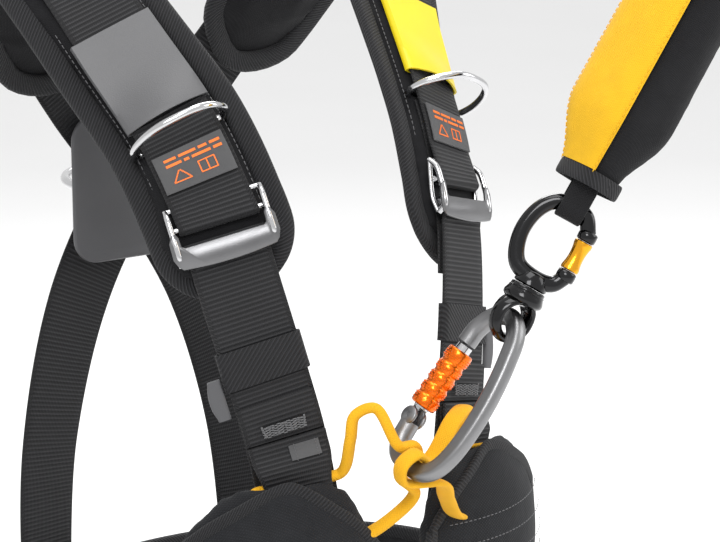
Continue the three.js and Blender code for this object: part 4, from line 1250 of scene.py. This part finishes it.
class HARNESS_OT_keepers(Step, bpy.types.Operator):
    """Elastic keepers, moulded strap tabs and the covers of the strap ends"""

    bl_idname = "harness.keepers"
    bl_label = "Keepers and strap tabs"

    def execute(self, context):
        sizes = context.scene.harness_sizes
        width, thick = sizes.web_width / MM, sizes.web_thick / MM
        for side, tag in SIDES:
            chest = route(CHEST_ROUTE, side)
            run = stations(chest, *KEEPER_SPAN, 16)
            w, h = width + 1, thick + 2.4
            skin = web_section(w + 2.4, h + 2.4, 0, 10)
            outer = [carried(s, skin) for s in run]
            inner = [carried(s, web_section(w + 0.2, h + 0.2, 0, 10)) for s in run]
            across = [a for a, _ in skin]
            band = loft([*outer, *inner[::-1]], looped=True, across=across)
            piece("keeper_band_" + tag, band, "keeper", "keeper_" + tag, ["keeper_" + tag], 50)
            self.tab(chest, side, tag, width)
            overlap = stations(chest, *STRAP_END_SPAN, 20)
            cover = sweep(overlap, web_section(width - 0.6, thick, thick + 0.2), flat=True)
            piece("strap_end_" + tag, cover, "web", "harness")
        return {"FINISHED"}

    def tab(self, chest, side, tag, width):
        run = stations(chest, *PULL_TAB_SPAN, 14)
        edge = -width / 2 - 4.5 - 2.8

        def section(share):
            wide = 9 * (0.62 + 0.38 * math.sin(math.pi * min(max(share, 0.06), 0.94)) ** 0.5)
            return oval_section(wide, 4.0 - 0.8 * share, 0.0, 16, 0.6, shift=edge + (9 - wide) / 2)

        piece("pull_tab_" + tag, sweep(run, section), "plastic", "harness", ["strap_tab_" + tag], 60)


class HARNESS_OT_eyes(Step, bpy.types.Operator):
    """Sewn eyes at the chest, their bar tacks and small end tags"""

    bl_idname = "harness.eyes"
    bl_label = "Chest eyes"

    def execute(self, context):
        sizes = context.scene.harness_sizes
        width, thick = sizes.web_width / MM, sizes.web_thick / MM
        layer = thick + GAP
        top, opened, bottom = EYE_AT
        for side, tag in SIDES:
            chest = route(CHEST_ROUTE, side)

            def lift(place):
                return 2 * layer + (EYE_RISE - 2 * layer) * smoothstep(place, top + 0.12, opened)

            def taper(share):
                slim = 7 * smoothstep(share, 0.1, 0.4) * (1 - smoothstep(share, 0.75, 0.98))
                return web_section(width - 1 - slim, thick)

            outer = stations(chest, top, bottom, 30, lift)
            turn = wrap(outer[-1], (EYE_RISE - layer) / 2, math.pi, 14)[:-1]
            inner = stations(chest, bottom, top, 20, lambda p: layer)
            eye = sweep([*outer, *turn, *inner], taper, flat=True)
            piece("eye_webbing_" + tag, eye, "web", "harness", ["eye_tape_" + tag])
            tack = chest(TACK_PLACE, 2 * layer)
            rows = [zigzag(tack, 24, 6, 26, thick / 2 + 0.1), zigzag(tack, 24, 6, 26, thick / 2 + 0.3, 0.5)]
            stitched("eye_tack_" + tag, rows, "thread", "harness", 1.4, 1.5, 0.55)
            tag_run = [s._replace(at=s.at + s.across * 8 + s.face * (thick / 2 + 0.5)) for s in outer[3:11]]
            end_tag = sweep(tag_run, web_section(17, 0.7), flat=True)
            piece("end_tag_" + tag, end_tag, "label", "harness")
            rows = [offset_line(tag_run, across, 0.55) for across in (-5.5, 6.5)]
            stitched("end_tag_stitches_" + tag, rows, "thread", "harness", 1.6, 1.1, 0.3)
        return {"FINISHED"}


class HARNESS_OT_loops(Step, bpy.types.Operator):
    """Textile loops from the chest eyes round the carabiner's bow"""

    bl_idname = "harness.loops"
    bl_label = "Chest loops"

    def execute(self, context):
        m = np.array(carabiner_frame())
        layer = 2.1
        for side, tag in SIDES:
            chest, loop = route(CHEST_ROUTE, side), LOOPS[tag]
            in_eye, rise = (EYE_AT[1] + EYE_AT[2]) / 2 + 0.02, (EYE_RISE + layer) / 2
            held = [chest(in_eye, rise, share * LOOP_SHIFT) for share in (-1, -0.5, 0, 0.5, 1)]
            free = [np.array(p, float) for p in (*loop["out"], *loop["back"])]
            centre = sum(free) / len(free)
            bow = []
            for share in (0, 1 / 3, 2 / 3, 1):
                angle = math.radians(loop["turn"][0] + (loop["turn"][1] - loop["turn"][0]) * share)
                out = np.array([0, math.cos(angle), math.sin(angle)])
                at = np.array([*loop["bow"], 0]) + out * (CARABINER_RADIUS + 4)
                bow.append((m[:3, :3] @ at + m[:3, 3], m[:3, :3] @ out))
            points = [(s.at, s.face) for s in held]
            points += [(np.array(p, float), unit(np.array(p) - centre)) for p in loop["out"]]
            points += bow
            points += [(np.array(p, float), unit(np.array(p) - centre)) for p in loop["back"]]
            curve = Curve([p for p, _ in points], closed=True)
            on_bow = len(held) + len(loop["out"]) + 1
            run = carried_round(curve, on_bow / len(points), points[on_bow][1], 220)
            shape = sweep(run, oval_section(*loop["tape"], sides=20, power=0.85), looped=True)
            piece("chest_loop_" + tag, shape, "loop", "harness", ["sternal_loop_" + tag])
        return {"FINISHED"}


class HARNESS_OT_pouches(Step, bpy.types.Operator):
    """Soft pouches below the chest that take the loops when they are not in use"""

    bl_idname = "harness.pouches"
    bl_label = "Loop pouches"

    def execute(self, context):
        # height, inner and outer edge in degrees round the ribs, thickness
        table = [
            (-302, 14, 32, 9),
            (-312, 10, 38, 14),
            (-326, 7, 43, 18),
            (-345, 5, 47, 23),
            (-370, 4, 49, 25),
            (-396, 4, 48, 24),
            (-412, 8, 43, 16),
        ]
        depths = [-row[0] for row in table]
        for side, tag in SIDES:

            def at(z, share, out=1.0, lift=4.6):
                low, high, thick = (np.interp(-z, depths, [row[i] for row in table]) for i in (1, 2, 3))
                bulge = thick * (0.55 + 0.45 * math.sin(math.pi * share)) * out
                return outline(RIBS, side * (low + (high - low) * share), lift + bulge, z)

            rings = []
            for z in np.linspace(-303, -411, 28):
                front = [at(z, share, 0.93).at for share in np.linspace(0.02, 0.98, 17)]
                back = [at(z, share, 0.0).at for share in np.linspace(0.98, 0.02, 17)]
                rings.append([*front, *back])
            mesh = swollen("pouch_bag_" + tag, loft(rings), 4.0, 4.0, 4.5)
            bag = piece("pouch_bag_" + tag, mesh, "pouch", "harness", ["loop_pouch_" + tag])
            rim = []
            for t in np.linspace(0.0, 1.0, 44):
                rim.append(at(-345 + 39 * math.sin(math.pi * t) ** 0.7, 0.02 + 0.96 * t, 1.0, 5.6))
            lip = [s._replace(across=np.cross(s.along, s.face)) for s in rim]
            shape = sweep(lip, oval_section(9, 3.4, sides=16, power=0.7))
            piece("pouch_lip_" + tag, shape, "binding", "harness")
            for name, share in (("inner", 0.03), ("outer", 0.97)):
                edge = []
                for z in np.linspace(-343, -409, 24):
                    s = at(z, share, 1.0, 5.0)
                    edge.append(station(s.at, (0, 0, -1), s.face, s.along))
                shape = sweep(edge, oval_section(8, 3.6, sides=14, power=0.7))
                piece(f"pouch_edge_{name}_{tag}", shape, "binding", "harness")
            rows = []
            for z in (-340, -353, -366, -379, -392, -403):
                rows.append([at(z, share, 1.0, 8.9).at for share in np.linspace(0.1, 0.9, 24)])
            stitched("pouch_stitches_" + tag, rows, "thread", "harness", 3.2, 1.7, 0.5)
        return {"FINISHED"}


class HARNESS_OT_carabiner(Step, bpy.types.Operator):
    """Forged carabiner with its gate and the orange locking sleeve"""

    bl_idname = "harness.carabiner"
    bl_label = "Carabiner"

    def execute(self, context):
        place = carabiner_frame()

        def section(share):
            """Forged bar: a round back with a shallow channel down each face."""
            ribbed = smoothstep(share, 0.06, 0.14) * (1 - smoothstep(share, 0.86, 0.94))
            made = []
            for i in range(32):
                a = 2 * math.pi * i / 32
                deep = 1.3 * ribbed * math.exp(-(((abs(math.sin(a)) - 1) / 0.16) ** 2))
                r = CARABINER_RADIUS - deep
                made.append((r * math.cos(a) * (1 - 0.06 * ribbed), r * math.sin(a)))
            return made

        bar = sweep(flat_run(CARABINER_BODY, 120), section).place(place)
        piece("carabiner_bar", bar, "alloy", "carabiner", ["carabiner_body"], 60)
        (x0, y0), cheek_radius = GATE_AXIS, 5.4
        angles = np.linspace(0, 2 * math.pi, 33)[:-1]
        contour = [(x0 + cheek_radius * math.cos(t), y0 + cheek_radius * math.sin(t)) for t in angles]
        cheeks = [plate(contour, 2.2, 0.5).place(place @ Matrix.Translation((0, 0, z))) for z in (-3.9, 3.9)]
        piece("carabiner_cheeks", joined(*cheeks), "alloy", "carabiner", (), 50)
        refined("gate_pin", "steel", "carabiner")
        refined("carabiner_gate", "steel", "gate")
        low, high, radius, bore = SLEEVE_LOW, SLEEVE_HIGH, SLEEVE_RADIUS, SLEEVE_BORE
        profile = [(bore, low), (radius - 1.2, low), (radius - 0.3, low + 0.5), (radius, low + 1.3)]
        for groove in GROOVES:
            profile += [(radius, groove - 1.5), (radius - 0.35, groove - 1.1), (radius - 0.75, groove - 0.4)]
            profile += [(radius - 0.75, groove + 0.4), (radius - 0.35, groove + 1.1), (radius, groove + 1.5)]
        profile += [(radius, high - 1.3), (radius - 0.3, high - 0.5), (radius - 1.2, high), (bore, high)]
        on_axis = place @ Matrix.Translation((x0, 0, 0))
        sleeve = turned_shape(profile, 56).place(on_axis)
        piece("locking_barrel", sleeve, "orange", "locking_sleeve", ["locking_sleeve"], 50)
        grip_points(on_axis, radius)
        return {"FINISHED"}


def grip_points(place, radius):
    """Small raised grip points in rows between the grooves of the locking sleeve."""
    points = []
    for row in GRIP_ROWS:
        for k in range(3):
            for i in range(24):
                a = 2 * math.pi * (i + 0.5 * (k % 2)) / 24
                h = row - 1.4 + 1.4 * k
                points.append((radius * math.cos(a), h, radius * math.sin(a)))
    mesh = bpy.data.meshes.new("grip_points_seed")
    m = np.array(place, float)
    world = [tuple((m[:3, :3] @ np.array(p) + m[:3, 3]) * MM) for p in points]
    mesh.from_pydata(world, [], [])
    values = {"Radius": 0.42 * MM, "Material": FINISHES["orange"].mat}
    grown(linked("grip_points", mesh), grip_tree(), values, "locking_sleeve")


def grip_tree():
    """A low round bump at every point."""
    tree = bpy.data.node_groups.new("Grip points", "GeometryNodeTree")
    face = tree.interface
    face.new_socket("Geometry", in_out="INPUT", socket_type="NodeSocketGeometry")
    size = face.new_socket("Radius", in_out="INPUT", socket_type="NodeSocketFloat")
    size.default_value = 0.0004
    size.subtype = "DISTANCE"
    face.new_socket("Material", in_out="INPUT", socket_type="NodeSocketMaterial")
    face.new_socket("Geometry", in_out="OUTPUT", socket_type="NodeSocketGeometry")
    nodes, links = tree.nodes, tree.links
    given, result = nodes.new("NodeGroupInput"), nodes.new("NodeGroupOutput")
    ball = nodes.new("GeometryNodeMeshIcoSphere")
    ball.inputs["Subdivisions"].default_value = 1
    place = nodes.new("GeometryNodeInstanceOnPoints")
    real = nodes.new("GeometryNodeRealizeInstances")
    paint = nodes.new("GeometryNodeSetMaterial")
    links.new(given.outputs["Geometry"], place.inputs["Points"])
    links.new(given.outputs["Radius"], ball.inputs["Radius"])
    links.new(ball.outputs["Mesh"], place.inputs["Instance"])
    links.new(place.outputs["Instances"], real.inputs["Geometry"])
    links.new(real.outputs["Geometry"], paint.inputs["Geometry"])
    links.new(given.outputs["Material"], paint.inputs["Material"])
    links.new(paint.outputs["Geometry"], result.inputs["Geometry"])
    return tree


class HARNESS_OT_swivel(Step, bpy.types.Operator):
    """Swivel with its eye, bearing collar, gated ring and gold bolt sleeve"""

    bl_idname = "harness.swivel"
    bl_label = "Swivel"

    def execute(self, context):
        place = lifeline_frame()
        base_place = place @ rotation(-CARABINER_ROLL, "Y")
        self.base(base_place)
        refined("swivel_axle", "steel", "swivel_ring")
        refined("ring_bolt", "steel", "swivel_ring")

        def section(share):
            low = math.exp(-(((share - 0.24) / 0.13) ** 2))
            return oval_section(8.6 + 1.2 * low, 8.6 + 3.0 * low, sides=24, power=0.85)

        ring = sweep(flat_run(SWIVEL_RING, 96), section)
        on_bolt = Matrix.Translation((BOLT_X, 0, 0))
        lugs = []
        for y in LUG_HEIGHTS:
            barrel = [(4.2, y - 3), (5.2, y - 2.4), (5.4, y), (5.2, y + 2.4), (4.2, y + 3)]
            lugs.append(disc_stack(barrel).place(on_bolt))
        boss = disc_stack([(8.6, 19.3), (9.6, 20), (9.4, 22), (7.6, 26.3), (6.4, 27.4), (4, 28)])
        shapes = [part.place(place) for part in (ring, *lugs, boss)]
        piece("swivel_bow", joined(*shapes), "black", "swivel_ring", ["swivel_ring"], 60)
        inner, low, high = GOLD_BORE, GOLD_LOW, GOLD_HIGH
        waist = [(inner, low), (4.7, low), (5.2, low + 0.5), (5.2, low + 2.2)]
        for t in np.linspace(0, 1, 11):
            waist.append((4.3 + 0.7 * (2 * t - 1) ** 2, low + 2.8 + (high - low - 5.6) * t))
        waist += [(5.2, high - 2.2), (5.2, high - 0.5), (4.7, high), (inner, high)]
        gold = turned_shape(waist, 48).place(place @ on_bolt)
        piece("gold_barrel", gold, "gold", "gold_sleeve", ["gold_sleeve"], 40)
        band = disc_stack([(10.1, 16.0), (10.5, 16.3), (10.5, 16.7), (10.1, 17.0)], 48).place(base_place)
        piece("collar_band", band, "black", "swivel_base")
        return {"FINISHED"}

    def base(self, place):
        """Thick rounded eye that runs into a bell-shaped neck."""
        eye = []
        for i in range(72):
            t = 2 * math.pi * i / 72
            out = np.array([0, math.cos(t), math.sin(t)])
            wide = 5.0 + 3.2 * max(math.cos(t), 0) ** 2
            ring = []
            for a in np.linspace(0, 2 * math.pi, 19)[:-1]:
                side = wide * math.cos(a) ** 3 * 0.25 + wide * math.cos(a) * 0.75
                ring.append(np.array([side, 0, 0]) + out * (11.1 + 2.8 * math.sin(a)))
            eye.append(ring)
        bell = disc_stack(
            [(6.5, 8.6), (9.6, 9.6), (11.4, 11.2), (11.6, 13), (10.8, 15), (10.1, 17), (10, 18.6), (9.4, 19)]
        )
        shape = joined(loft(eye, looped=True).place(place), bell.place(place))
        piece("swivel_eye", shape, "black", "swivel_base", ["swivel_base"], 60)


class HARNESS_OT_absorber(Step, bpy.types.Operator):
    """Energy absorber: the pouch, its yellow face, the folded tape inside and the webbing loops"""

    bl_idname = "harness.absorber"
    bl_label = "Energy absorber"

    def execute(self, context):
        place = absorber_frame()
        start, length = ABSORBER["start"], ABSORBER["length"]

        def size(y):
            return ABSORBER["taper"] + (1 - ABSORBER["taper"]) * smoothstep(y, start, start + 42)

        def ring(y, shrink, n=40):
            w, d = (ABSORBER[key] * size(y) - shrink for key in ("width", "depth"))
            made = []
            for i in range(n):
                t = 2 * math.pi * i / n
                c, s = (math.copysign(abs(v) ** 0.62, v) for v in (math.cos(t), math.sin(t)))
                made.append((w / 2 * c, y, d / 2 * s))
            return made

        heights = np.linspace(start, start + length, 50)
        shell = loft([ring(y, 3.0) for y in heights]).place(place)
        mesh = swollen("absorber_bag", shell, 3.0, 3.0, 5.0)
        bag = piece("absorber_bag", mesh, "padding", "absorber", ["absorber_cover"])
        self.face(place, ring, start, length)
        for name, y in (("lower", start + 1.5), ("upper", start + length - 4)):
            run = []
            curve = Curve(ring(y, -0.6, 48), closed=True)
            for i in range(96):
                along = curve.tangent(i / 96)
                run.append(station(curve.at(i / 96), along, unit(np.cross((0, 1, 0), along)), (0, 1, 0)))
            band = sweep(run, oval_section(9, 2.4, sides=12, power=0.6), looped=True).place(place)
            piece("absorber_band_" + name, band, "binding", "absorber")
        refined("tear_tape", "panel", "absorber")
        self.webs()
        return {"FINISHED"}

    def face(self, place, ring, start, length):
        """Yellow panel that covers one face and wraps round to the side, bordered by stitching."""
        covered = slice(9, 33)
        outer, inner = [], []
        for y in np.linspace(start + 6, start + length - 8, 44):
            outer.append(np.array(ring(y, -1.6, 80))[covered])
            inner.append(np.array(ring(y, 0.6, 80))[covered][::-1])
        rings = [np.concatenate([a, b]) for a, b in zip(outer, inner)]
        shape = loft(rings).place(place)
        piece("absorber_face", shape, "panel", "absorber", ["absorber_panel"], 50)
        m = np.array(place, float)
        rows = []
        for index in (1, 21):
            rows.append([m[:3, :3] @ (r[index] * np.array([1.012, 1, 1.012])) + m[:3, 3] for r in outer])
        stitched("absorber_stitches", rows, "yellow_thread", "absorber", 3.4, 2.4, 0.6)

    def webs(self):
        place = lifeline_frame()
        for name, node, y0, y1, radius, sign, width in (
            ("absorber_ring_loop", "absorber_lower_loop", 83.7, 68.5, 7.4, -1, 15),
            ("absorber_line_loop", "absorber_upper_loop", 284.3, 329, 8, 1, 22),
        ):
            along, face, across = (0, sign, 0), (0, 0, 1), (1, 0, 0)
            run = [station((0, y, radius), along, face, across) for y in np.linspace(y0, y1, 8)[:-1]]
            first = station((0, y1, radius), along, face, across)
            turn = wrap(first, radius, math.pi, 24)
            back = [turn[-1]._replace(at=np.array([0, y, -radius])) for y in np.linspace(y1, y0, 8)[1:]]
            shape = sweep([*run, first, *turn, *back], web_section(width, 1.8), flat=True).place(place)
            piece(name, shape, "absorber_web", "absorber", [node])


class HARNESS_OT_belt(Step, bpy.types.Operator):
    """Waist belt, leg loops, their pads and the straps that hang them"""

    bl_idname = "harness.belt"
    bl_label = "Belt and leg loops"

    def execute(self, context):
        sizes = context.scene.harness_sizes
        width, thick = sizes.web_width / MM, sizes.web_thick / MM
        section = web_section(width, thick)
        belt = self.strap(WAIST, BELT_BUCKLE_AT, BUCKLE_APPROACH, thick, BELT_Z, 8, 220)
        piece("belt_strap", sweep(belt, section, flat=True), "web", "harness", ["belt_webbing"])
        middle = -PAD_DROP - PAD_THICK / 2
        pad = girdle(WAIST, *WAIST_PAD["span"], 110, middle, WAIST_PAD["z"])
        self.pad("waist", pad, WAIST_PAD, "waist_pad", sizes)
        for side, tag in SIDES:
            place = leg_frame(side)
            gap = BUCKLE_APPROACH * LEG_GAP_SHARE
            run = moved(self.strap(THIGH, side * LEG_BUCKLE_AT, gap, thick, 0, 12, 160), place)
            strap = sweep(run, section, flat=True)
            piece("leg_strap_" + tag, strap, "web", "harness", ["leg_webbing_" + tag])
            start, end = LEG_PAD["span"]
            pad = moved(girdle(THIGH, side * start, side * end, 80, middle), place)
            self.pad("leg_" + tag, pad, LEG_PAD, "leg_pad_" + tag, sizes)
            for name, node, points in (("riser", "leg_riser_", LEG_RISER), ("seat", "seat_strap_", SEAT_STRAP)):
                line = stations(route(points, side), 0, len(points) - 1, 50)
                strap = sweep(line, web_section(30, thick), flat=True)
                piece(f"{name}_webbing_{tag}", strap, "narrow_web", "harness", [node + tag])
        return {"FINISHED"}

    def strap(self, form, at, gap, thick, z, tail, steps):
        buckle = outline(form, at, 0, z)
        low = -(SLIDE_BAR["radius"] + GAP + thick / 2)
        high = -(FIXED_BAR["radius"] + GAP + thick / 2)
        round_run = [turned(s) for s in girdle(form, at + 360 - gap, at + gap, steps, 0, z)]
        slide = {**SLIDE_BAR, "along": -SLIDE_BAR["along"]}
        under = girdle(form, at + gap, at + gap + tail, 6, low, z)
        half = round_bar(round_run, turned(buckle), slide, under, thick)
        back = [turned(s) for s in half[::-1]]
        return round_bar(back, buckle, FIXED_BAR, girdle(form, at - gap, at - gap - tail, 6, high, z), thick)

    def pad(self, name, run, pad, node, sizes):
        widths = end_width(run, pad["width"], pad["corner"])
        core = pad_core(run, widths, 0.0)
        mesh = swollen(name + "_cushion", core, sizes.swell / MM)
        made = piece(name + "_cushion", mesh, "mesh", "harness", [node])
        piece(name + "_binding", pad_binding(run, widths, 12, 0.0), "binding", "harness")


class HARNESS_OT_back(Step, bpy.types.Operator):
    """Back plate where the shoulder webbing crosses"""

    bl_idname = "harness.back"
    bl_label = "Back plate"

    def execute(self, context):
        contour = rounded(104, 92, 16, 8)
        shape = plate(contour, 4, 1.2).place(Matrix.Translation((0, 118.6, DORSAL_AT[2])) @ rotation(90, "X"))
        piece("back_plate", shape, "plastic", "harness", ["dorsal_plate"], 50)
        return {"FINISHED"}


class HARNESS_OT_stage(Step, bpy.types.Operator):
    """Pale floor, soft lights and the camera"""

    bl_idname = "harness.stage"
    bl_label = "Stage"

    def execute(self, context):
        scene = context.scene
        mesh = bpy.data.meshes.new("floor")
        z = CAD_BOUNDS[0][2] - 0.004
        corners = [(FLOOR_HALF * x, FLOOR_HALF * y, z) for x, y in ((-1, -1), (1, -1), (1, 1), (-1, 1))]
        mesh.from_pydata(corners, [], [(0, 1, 2, 3)])
        floor = linked("floor", mesh)
        pale = Finish("pale_floor", (0.93, 0.93, 0.93), 0.8, None)
        cloud = pale.noise(pale.place(), 3.0)
        pale.feed("Base Color", pale.between(cloud, (0.91, 0.91, 0.91), (0.94, 0.94, 0.94)))
        mesh.materials.append(pale.mat)
        world = bpy.data.worlds.new("studio")
        scene.world = world
        world.use_nodes = True
        world.node_tree.nodes["Background"].inputs[0].default_value = (1, 1, 1, 1)
        world.node_tree.nodes["Background"].inputs[1].default_value = 0.85
        aim = Vector(CAMERA_AIM)
        for name, at, size, power in (
            ("key_light", (-1.1, -1.5, 1.3), 0.9, 24),
            ("fill_light", (1.6, -1.0, 0.5), 1.1, 10),
            ("rim_light", (0.9, 1.3, 0.9), 0.9, 16),
            ("top_light", (0.0, -0.3, 1.8), 1.2, 16),
        ):
            data = bpy.data.lights.new(name, "AREA")
            data.size = size
            data.energy = power
            light = linked(name, data)
            light.location = at
            light.rotation_euler = (aim - Vector(at)).to_track_quat("-Z", "Y").to_euler()
        data = bpy.data.cameras.new("camera")
        data.sensor_width = 36
        data.lens = CAMERA_LENS
        data.clip_end = 100
        camera = linked("camera", data)
        turn, rise = math.radians(CAMERA_TURN), math.radians(CAMERA_RISE)
        back = (math.sin(turn) * math.cos(rise), -math.cos(turn) * math.cos(rise), math.sin(rise))
        camera.location = aim + Vector(back) * CAMERA_DISTANCE
        camera.rotation_euler = (-Vector(back)).to_track_quat("-Z", "Y").to_euler()
        scene.camera = camera
        scene.view_settings.view_transform = "Standard"
        return {"FINISHED"}


class HARNESS_PT_panel(bpy.types.Panel):
    """Sidebar panel that lists the building steps"""

    bl_label = "Climbing harness"
    bl_idname = "HARNESS_PT_panel"
    bl_space_type = "VIEW_3D"
    bl_region_type = "UI"
    bl_category = "Harness"

    def draw(self, context):
        for group in (context.scene.harness_sizes, context.scene.harness_colours):
            box = self.layout.box()
            for key in group.__annotations__:
                box.prop(group, key)
        for operator in OPERATORS:
            self.layout.operator(operator.bl_idname)


def length(name, description, default):
    return bpy.props.FloatProperty(
        name=name, description=description, default=default, subtype="DISTANCE", unit="LENGTH"
    )


def colour(name, description, default):
    return bpy.props.FloatVectorProperty(
        name=name, description=description, default=default, subtype="COLOR", size=3, min=0, max=1
    )


class HarnessSizes(bpy.types.PropertyGroup):
    """Sizes that a maker would change"""

    web_width: length("Webbing width", "Width of the main webbing", 0.045)
    web_thick: length("Webbing thickness", "Thickness of the main webbing", 0.0018)
    rib_pitch: length("Rib pitch", "Distance between the ribs across the webbing", 0.0026)
    pad_width: length("Pad width", "Width of the shoulder pads", 0.08)
    ring_wire: length("Ring wire", "Radius of the parking rings' wire", 0.0021)
    swell: length("Pad swell", "How far the pads may swell", 0.005)


class HarnessColours(bpy.types.PropertyGroup):
    """Colours of the harness"""

    webbing: colour("Webbing", "Black webbing and binding", (0.0085, 0.0085, 0.0095))
    padding: colour("Padding", "Cloth over the pads", (0.0055, 0.0055, 0.0065))
    pouch: colour("Pouch", "Cloth of the pouches", (0.009, 0.0095, 0.011))
    grey: colour("Grey sleeve", "Coated sleeve of the right shoulder", (0.1, 0.1, 0.104))
    label: colour("Label", "Label tabs", (0.11, 0.11, 0.113))
    yellow: colour("Yellow sleeve", "Coated sleeve of the left shoulder", (0.8, 0.62, 0.008))
    panel: colour("Yellow panel", "Yellow face of the absorber", (0.83, 0.47, 0.012))
    loop: colour("Chest loops", "Textile loops at the chest", (0.86, 0.44, 0.012))
    steel: colour("Polished steel", "Rings and pins", (0.62, 0.62, 0.63))
    satin: colour("Satin steel", "Adjuster plates", (0.2, 0.2, 0.205))
    alloy: colour("Forged alloy", "Carabiner", (0.27, 0.27, 0.275))
    orange: colour("Orange alloy", "Locking sleeve and print", (0.95, 0.17, 0.005))
    black_alloy: colour("Black alloy", "Swivel", (0.012, 0.012, 0.013))
    gold: colour("Gold alloy", "Bolt sleeve", (0.95, 0.42, 0.02))
    plastic: colour("Grey plastic", "Moulded tabs and back plate", (0.08, 0.08, 0.085))
    thread: colour("Thread", "Sewing thread", (0.16, 0.16, 0.165))


OPERATORS = (
    HARNESS_OT_stage,
    HARNESS_OT_webbing,
    HARNESS_OT_shoulder_pads,
    HARNESS_OT_sleeves,
    HARNESS_OT_adjusters,
    HARNESS_OT_rings,
    HARNESS_OT_keepers,
    HARNESS_OT_eyes,
    HARNESS_OT_loops,
    HARNESS_OT_pouches,
    HARNESS_OT_carabiner,
    HARNESS_OT_swivel,
    HARNESS_OT_absorber,
    HARNESS_OT_belt,
    HARNESS_OT_back,
)
CLASSES = (HarnessSizes, HarnessColours, *OPERATORS, HARNESS_PT_panel)


def register():
    for cls in CLASSES:
        bpy.utils.register_class(cls)
    bpy.types.Scene.harness_sizes = bpy.props.PointerProperty(type=HarnessSizes)
    bpy.types.Scene.harness_colours = bpy.props.PointerProperty(type=HarnessColours)


def unregister():
    del bpy.types.Scene.harness_sizes
    del bpy.types.Scene.harness_colours
    for cls in reversed(CLASSES):
        bpy.utils.unregister_class(cls)


def main():
    register()
    for name in ("Cube", "Light", "Camera"):
        if name in bpy.data.objects:
            bpy.data.objects.remove(bpy.data.objects[name])
    make_finishes(bpy.context.scene.harness_colours, bpy.context.scene.harness_sizes)
    for operator in OPERATORS:
        group, name = operator.bl_idname.split(".")
        getattr(getattr(bpy.ops, group), name)()


if __name__ == "__main__":
    main()
